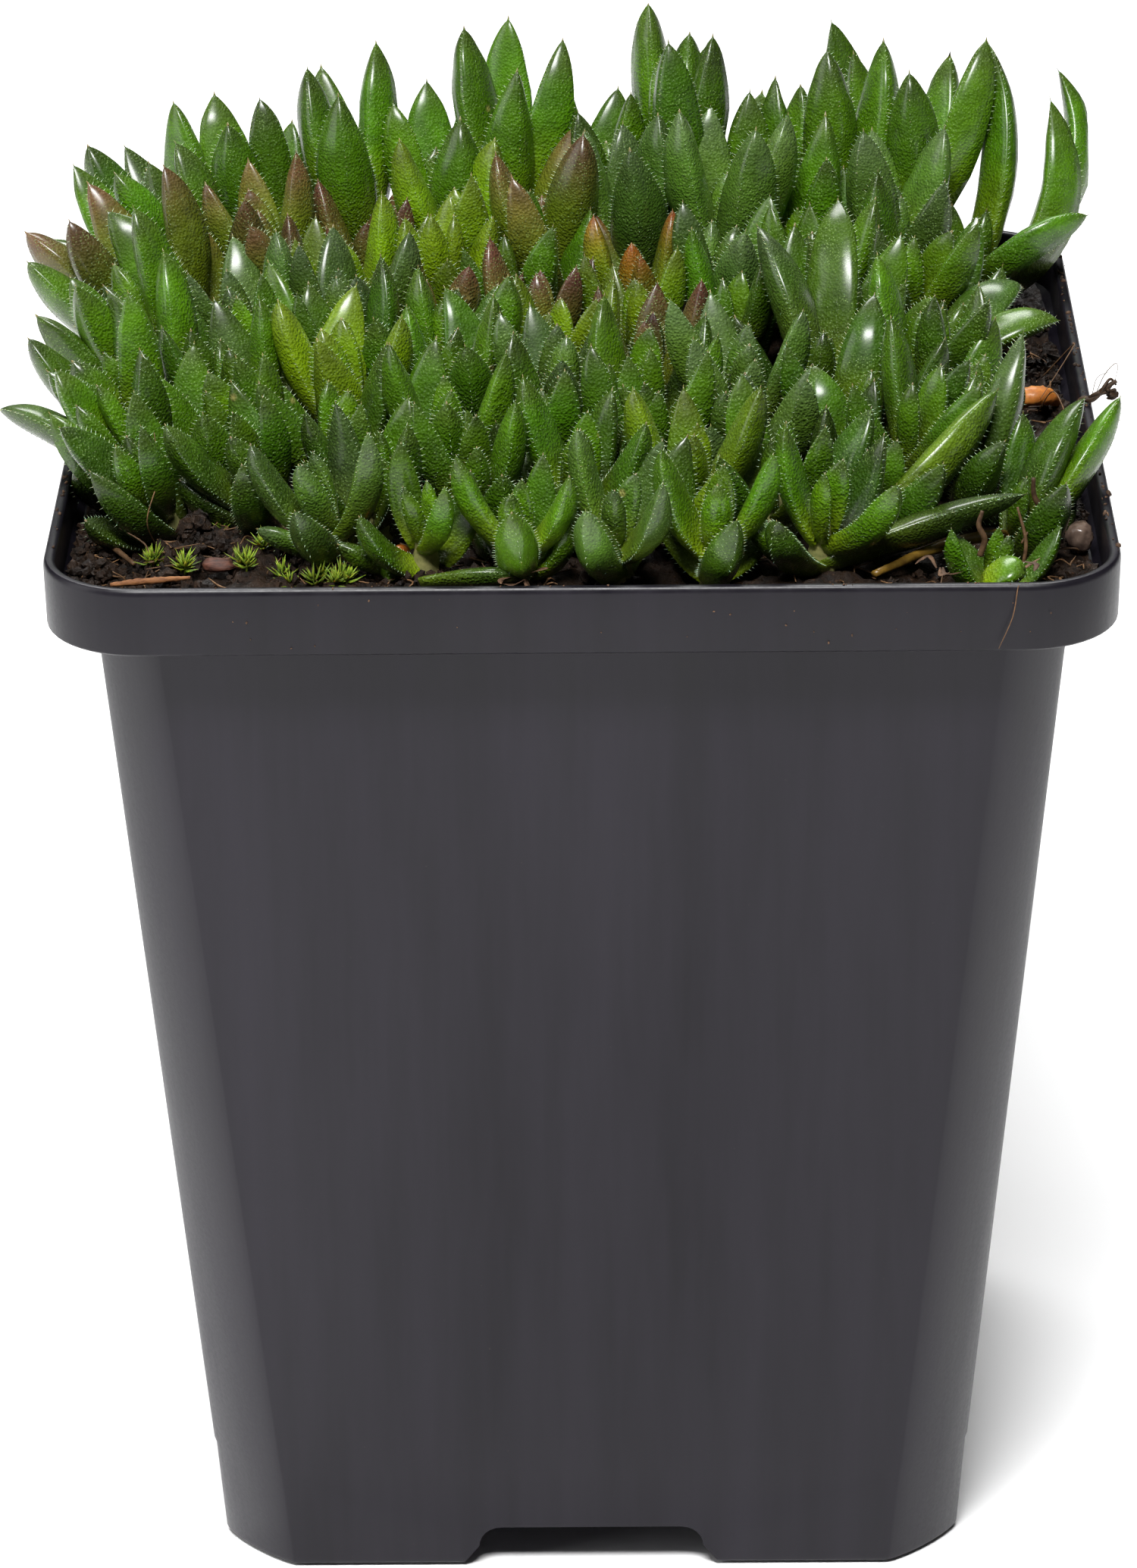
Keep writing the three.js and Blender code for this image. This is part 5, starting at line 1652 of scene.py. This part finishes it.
HAIRS = [
    # places, thickness, shade
    ([(-36.1, -29, 97.5), (-36.6, -31.5, 101), (-35.6, -30, 104.5), (-36.0, -28, 107.5)], 0.055, 1.0),
    ([(-42.4, -24.5, 97.0), (-40.2, -28.5, 97.6), (-37.7, -33, 97.6)], 0.32, 0.5),
    ([(36.2, -43.8, 99.4), (35.9, -45.1, 99.8), (35.5, -45.45, 97.4), (34.4, -45.5, 94.6)], 0.05, 1.0),
    ([(-9.3, -31, 98), (-10.4, -32.5, 101.5), (-11.0, -32, 105)], 0.05, 1.0),
    ([(40.5, 3, 97), (41.7, -1, 100.5), (42.6, -6, 99), (41.2, -9, 98)], 0.06, 0.9),
    ([(41.5, 12, 97), (44.0, 9, 101.2), (43.2, 4, 102.0), (40.6, 1, 99)], 0.06, 0.8),
    ([(42.3, -2.2, 97.6), (43.9, -2.8, 100.3), (44.9, -3.2, 100.6), (46.0, -3.2, 101.6),
      (47.0, -3.2, 102.3)], 0.3, 0.26),
    ([(44.9, -3.2, 100.5), (45.7, -2.9, 101.0), (46.3, -3.1, 101.2), (46.9, -3.3, 101.5),
      (46.8, -3.2, 100.9)], 0.18, 0.26),
    ([(45.4, -3.3, 100.9), (45.9, -3.5, 101.9), (46.5, -3.0, 102.4), (47.0, -3.2, 101.9)], 0.14, 0.3),
    ([(44.2, -2.9, 100.3), (45.2, -3.4, 101.2), (46.1, -3.3, 101.3), (46.6, -3.2, 101.9)], 0.16, 0.3),
    ([(45.2, -3.2, 101.0), (45.9, -3.2, 102.8), (46.8, -3.2, 103.9), (47.1, -3.2, 103.6),
      (46.9, -3.2, 102.4)], 0.035, 0.6),
    ([(44.9, -3.0, 100.9), (45.3, -3.2, 102.6), (46.3, -3.4, 103.2)], 0.03, 0.6),
    ([(33.2, -37.0, 99.4), (33.6, -36.8, 100.8), (33.1, -36.6, 102.0), (33.4, -36.4, 103.2)], 0.28, 0.55),
    ([(39.1, -29.5, 97.0), (38.7, -29.2, 98.6), (39.0, -29.1, 100.0), (38.2, -29.0, 101.6),
      (38.1, -28.9, 103.2)], 0.32, 0.4),
    ([(36.9, -33.5, 96.2), (37.3, -33, 99.0), (36.6, -32, 101.8)], 0.18, 0.7),
    ([(37.0, -32, 98.5), (38.0, -31, 100.0), (38.4, -31.5, 101.2)], 0.10, 0.7),
]
FALLEN_FACE = (0.0, -0.2, 1.0)
FALLEN_LEAVES = [
    # base, middle, tip, width, tone: small loose leaves at the left and along the front
    ((-41.3, -24.8, 97.2), (-39.6, -25.8, 97.9), (-37.9, -26.2, 97.4), 1.5, "pale"),
    ((-15.9, -37.6, 97.4), (-16.3, -38.2, 99.2), (-15.4, -38.4, 100.9), 2.4, "green"),
    ((-13.2, -40.6, 98.9), (-8.8, -41.6, 99.9), (-3.9, -41.4, 99.6), 2.3, "dark"),
    ((33.6, -39.5, 97.8), (35.5, -40.6, 99.6), (36.9, -40.9, 99.2), 3.0, "green"),
]
DEAD_TIPS = [
    # places, thickness
    ([(24.4, 19.6, 106.0), (25.0, 19.4, 104.9), (26.0, 19.2, 104.3)], 0.5),
    ([(7.8, 28.0, 102.6), (9.6, 27.2, 102.9), (11.8, 26.6, 102.3)], 0.45),
    ([(-8.6, 27.4, 102.8), (-7.9, 27.0, 103.2), (-7.2, 27.2, 102.7)], 0.6),
]
DRY_PLACES = [
    (-6.5, -42.0, 99.4), (-4.2, -42.2, 99.6), (35.6, -40.7, 100.2), (-8.5, 27.5, 103), (-5.0, 24.0, 102),
    (-14.5, 6.0, 100.5), (-17.0, 4.0, 100.0), (10.5, 14.0, 101.0), (-24.5, -29.5, 98.6), (29.8, -37.0, 98.3),
]
DRY_AT_A_PLACE = 3
DRY_SCATTER = 0.5
DRY_BEND = 0.35
DRY_LENGTHS = (0.8, 1.7, 2.3)
DRY_RADII = [0.08, 0.26, 0.2, 0.05]
DRY_SHADES = (0.5, 1.3)
RIM_TOP = 0.55
GRAIN_RISE = 0.02


def soft_ball(name, material, x, y, foot, radius, height, lumps):
    """A lumpy granule, stretched to the given radius and height."""
    points, faces = FINE_BALL
    coarse = lumps * lattice_noise(points * 2 + 7, 1.0, 5)
    body = points * (1 + coarse + lumps * 0.4 * lattice_noise(points * 5, 1.0, 6))[:, None]
    low, high = body.min(0), body.max(0)
    body = (body - (low + high) / 2) / ((high - low) / 2)
    body = body * [radius, radius, height / 2] + [x, y, foot + height / 2]
    build = Build()
    build.add(body, [faces])
    piece = build.piece(name + "_skin", [material])
    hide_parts(name)


def chip_piece():
    x, y = CHIP_PLACE
    long, wide, thick = CHIP_SIZE
    points, faces = FINE_BALL
    body = np.sign(points) * abs(points) ** np.array(CHIP_BLUNT)
    ridges = 0.09 * lattice_noise(points * CHIP_RIDGES, 1.0, 8)
    body = body * (1 + ridges + 0.06 * lattice_noise(points, 0.5, 9))[:, None]
    body[:, 2] *= 1 - CHIP_TAPER * points[:, 0]
    body = body / abs(body).max(0) * [long / 2, wide / 2, thick / 2]
    turn = np.array(Matrix.Rotation(CHIP_TURN, 3, "Z"))
    body = body @ turn.T + [x, y, soil_top(x, y) + GAP + thick / 2]
    build = Build()
    build.add(body, [faces])
    piece = build.piece("bark_chip_grain", [BARK])
    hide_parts("bark_chip")


def twig_piece():
    build = Build()
    tube(build, smooth_path(TWIG, 14), TWIG_RADII, WHITE, 0, 12, rough=0.09, rng=draws("twig"))
    piece = build.piece("twig_bark_skin", [TWIG_BARK])
    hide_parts("twig")


def dead_leaf_piece():
    build = Build()
    tube(build, smooth_path(DEAD_LEAF, 8), DEAD_LEAF_RADII, WHITE, 0, 14, squash=0.8, rough=0.05,
         rng=draws("dead leaf"))
    piece = build.piece("dead_leaf_skin", [DEAD])
    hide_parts("dead_leaf")


def hair_piece():
    """Hairs, dry stalks and the clump of roots that hangs over the rim at the right."""
    build = Build()
    for places, thick, shade in HAIRS:
        tube(build, smooth_path(places, 8), [thick, thick, thick * HAIR_END], np.full(3, shade), 0, 6)
    rng = draws("hairs")
    for _ in range(CLUMP_CRUMBS):
        place = np.array(ROOT_CLUMP) + rng.normal(0, CLUMP_SPREAD, 3)
        crumb(build, place, CLUMP_SIZE, rng, BALL, CLUMP_SHADE)
    build.piece("roots_and_hairs", [FIBRE])


def fallen_piece():
    rng = draws("fallen leaves")
    build = Build()
    for base, mid, tip, width, tone in FALLEN_LEAVES:
        base, mid, tip, face = (np.array(p, float) for p in (base, mid, tip, FALLEN_FACE))
        leaf = {**new_leaf(0, base, mid, tip, width, face, tone), "placed": True}
        leaf_skin(build, leaf, rng, FALLEN_MESH)
    build.piece("fallen_leaves", [LEAF, TOOTH])


def bract_piece():
    """Dry brown scales between the leaves, and dead tips."""
    rng = draws("dry scales")
    build = Build()
    for place in DRY_PLACES:
        for _ in range(DRY_AT_A_PLACE):
            start = np.array(place) + rng.normal(0, DRY_SCATTER, 3) * [1, 1, 0.4]
            run = unit(rng.normal(0, 1, 3) * [1, 0.8, 0.35])
            bend = rng.normal(0, DRY_BEND, 3)
            near, middle, far = (start + run * long for long in DRY_LENGTHS)
            path = smooth_path([start, near + bend, middle, far - bend], 5)
            shade = np.full(3, rng.uniform(*DRY_SHADES))
            tube(build, path, DRY_RADII, shade, 0, 8, squash=0.28, rough=0.1, rng=rng)
    for places, thick in DEAD_TIPS:
        path = smooth_path(places, 6)
        tube(build, path, [0.2, thick, thick, 0.08], WHITE, 1, 10, squash=0.6, rough=0.08, rng=rng)
    build.piece("dry_bracts", [DRY, DEAD])


def speck_piece():
    """Grains of soil on the rim and the front of the band."""
    rng = draws("grains")
    build = Build()
    for _ in range(46):
        x = rng.uniform(-40, 40)
        if rng.random() < 0.55:
            place = [x, -(RIM_HALF - RIM_TOP) + rng.normal(0, 0.12), POT_HEIGHT + GRAIN_RISE]
        else:
            place = [x, -RIM_HALF + GRAIN_RISE, rng.uniform(94.8, 99.3)]
        crumb(build, np.array(place), rng.uniform(0.05, 0.13), rng, SMALL_BALL, rng.uniform(0.6, 1.6))
    for _ in range(130):
        side = 1 if rng.random() < 0.65 else -1
        across = side * (RIM_HALF - RIM_TOP + rng.normal(0, 0.2))
        place = np.array([across, rng.uniform(-38, 38), POT_HEIGHT + GRAIN_RISE])
        crumb(build, place, rng.uniform(0.06, 0.26), rng, SMALL_BALL, rng.uniform(0.25, 1.0))
    build.piece("rim_grains", [DRY])


soft_ball("granule_orange", RUST, -15.2, -33.6, 97.2, 0.95, 2.2, 0.05)
soft_ball("granule_brown", BEAD_BROWN, 42.2, -27.4, 95.7, 1.25, 2.9, 0.17)
chip_piece()
twig_piece()
dead_leaf_piece()
hair_piece()
fallen_piece()
bract_piece()
speck_piece()


# Studio: the camera in millimetres, degrees and pixels, the floor and the lamps in metres and watts

CAMERA_PLACE = (3.2746, -531.1431, 298.8006)
CAMERA_YAW = -0.5307
CAMERA_PITCH = 23.9954
CAMERA_ROLL = -0.6013
FOCAL_PIXELS = 8416.97
PICTURE_LENGTH = 2069
FLOOR_SIZE = 3.2
FLOOR_DROP = 0.0002
SENSOR = 36
CLIP = (0.05, 20)
WORLD_LIGHT = 0.02
AIM = (0, 0, 0.07)
LAMPS = [
    # name, place, size, power
    ("key", (-0.06, -0.5, 0.85), (0.36, 0.18), 13.2),
    ("back", (-0.1, 0.55, 0.8), (0.6, 0.3), 8.0),
    ("left", (-0.8, -0.22, 0.4), (0.5, 0.8), 3.6),
    ("right", (0.8, -0.2, 0.45), (0.25, 0.8), 0.2),
]


def camera():
    yaw, pitch, roll = (math.radians(a) for a in (CAMERA_YAW, CAMERA_PITCH, CAMERA_ROLL))
    ahead = Vector((math.sin(yaw) * math.cos(pitch), math.cos(yaw) * math.cos(pitch), -math.sin(pitch)))
    right = Vector((math.cos(yaw), -math.sin(yaw), 0))
    up = right.cross(ahead)
    across = math.cos(roll) * right + math.sin(roll) * up
    over = -math.sin(roll) * right + math.cos(roll) * up
    data = bpy.data.cameras.new("camera")
    data.sensor_width = SENSOR
    data.sensor_fit = "AUTO"
    data.lens = FOCAL_PIXELS * SENSOR / PICTURE_LENGTH
    data.clip_start, data.clip_end = CLIP
    eye = bpy.data.objects.new("camera", data)
    turn = Matrix((across, over, -ahead)).transposed().to_4x4()
    eye.matrix_world = Matrix.Translation(Vector(CAMERA_PLACE) * MM) @ turn
    bpy.context.scene.collection.objects.link(eye)
    bpy.context.scene.camera = eye


def lamp(name, place, size, power):
    data = bpy.data.lights.new(name, "AREA")
    data.shape = "RECTANGLE"
    data.size, data.size_y = size
    data.energy = power
    light = bpy.data.objects.new(name, data)
    light.location = place
    light.rotation_euler = (Vector(AIM) - Vector(place)).to_track_quat("-Z", "Y").to_euler()
    bpy.context.scene.collection.objects.link(light)


def floor():
    half = FLOOR_SIZE / 2
    mesh = bpy.data.meshes.new("floor")
    corners = [(-half, -half, 0), (half, -half, 0), (half, half, 0), (-half, half, 0)]
    mesh.from_pydata(corners, [], [(0, 1, 2, 3)])
    surface = Surface("floor")
    surface.set(Base_Color=(0.93, 0.93, 0.93), Roughness=0.9, Specular_IOR_Level=0.1)
    mesh.materials.append(surface.material)
    ground = bpy.data.objects.new("floor", mesh)
    ground.location.z = -FLOOR_DROP
    bpy.context.scene.collection.objects.link(ground)


def studio():
    world = bpy.data.worlds.new("studio")
    world.use_nodes = True
    background = next(n for n in world.node_tree.nodes if n.type == "BACKGROUND")
    background.inputs["Color"].default_value = (1, 1, 1, 1)
    background.inputs["Strength"].default_value = WORLD_LIGHT
    bpy.context.scene.world = world
    for name, place, size, power in LAMPS:
        lamp(name, place, size, power)
    bpy.context.scene.view_settings.view_transform = "Standard"


camera()
floor()
studio()
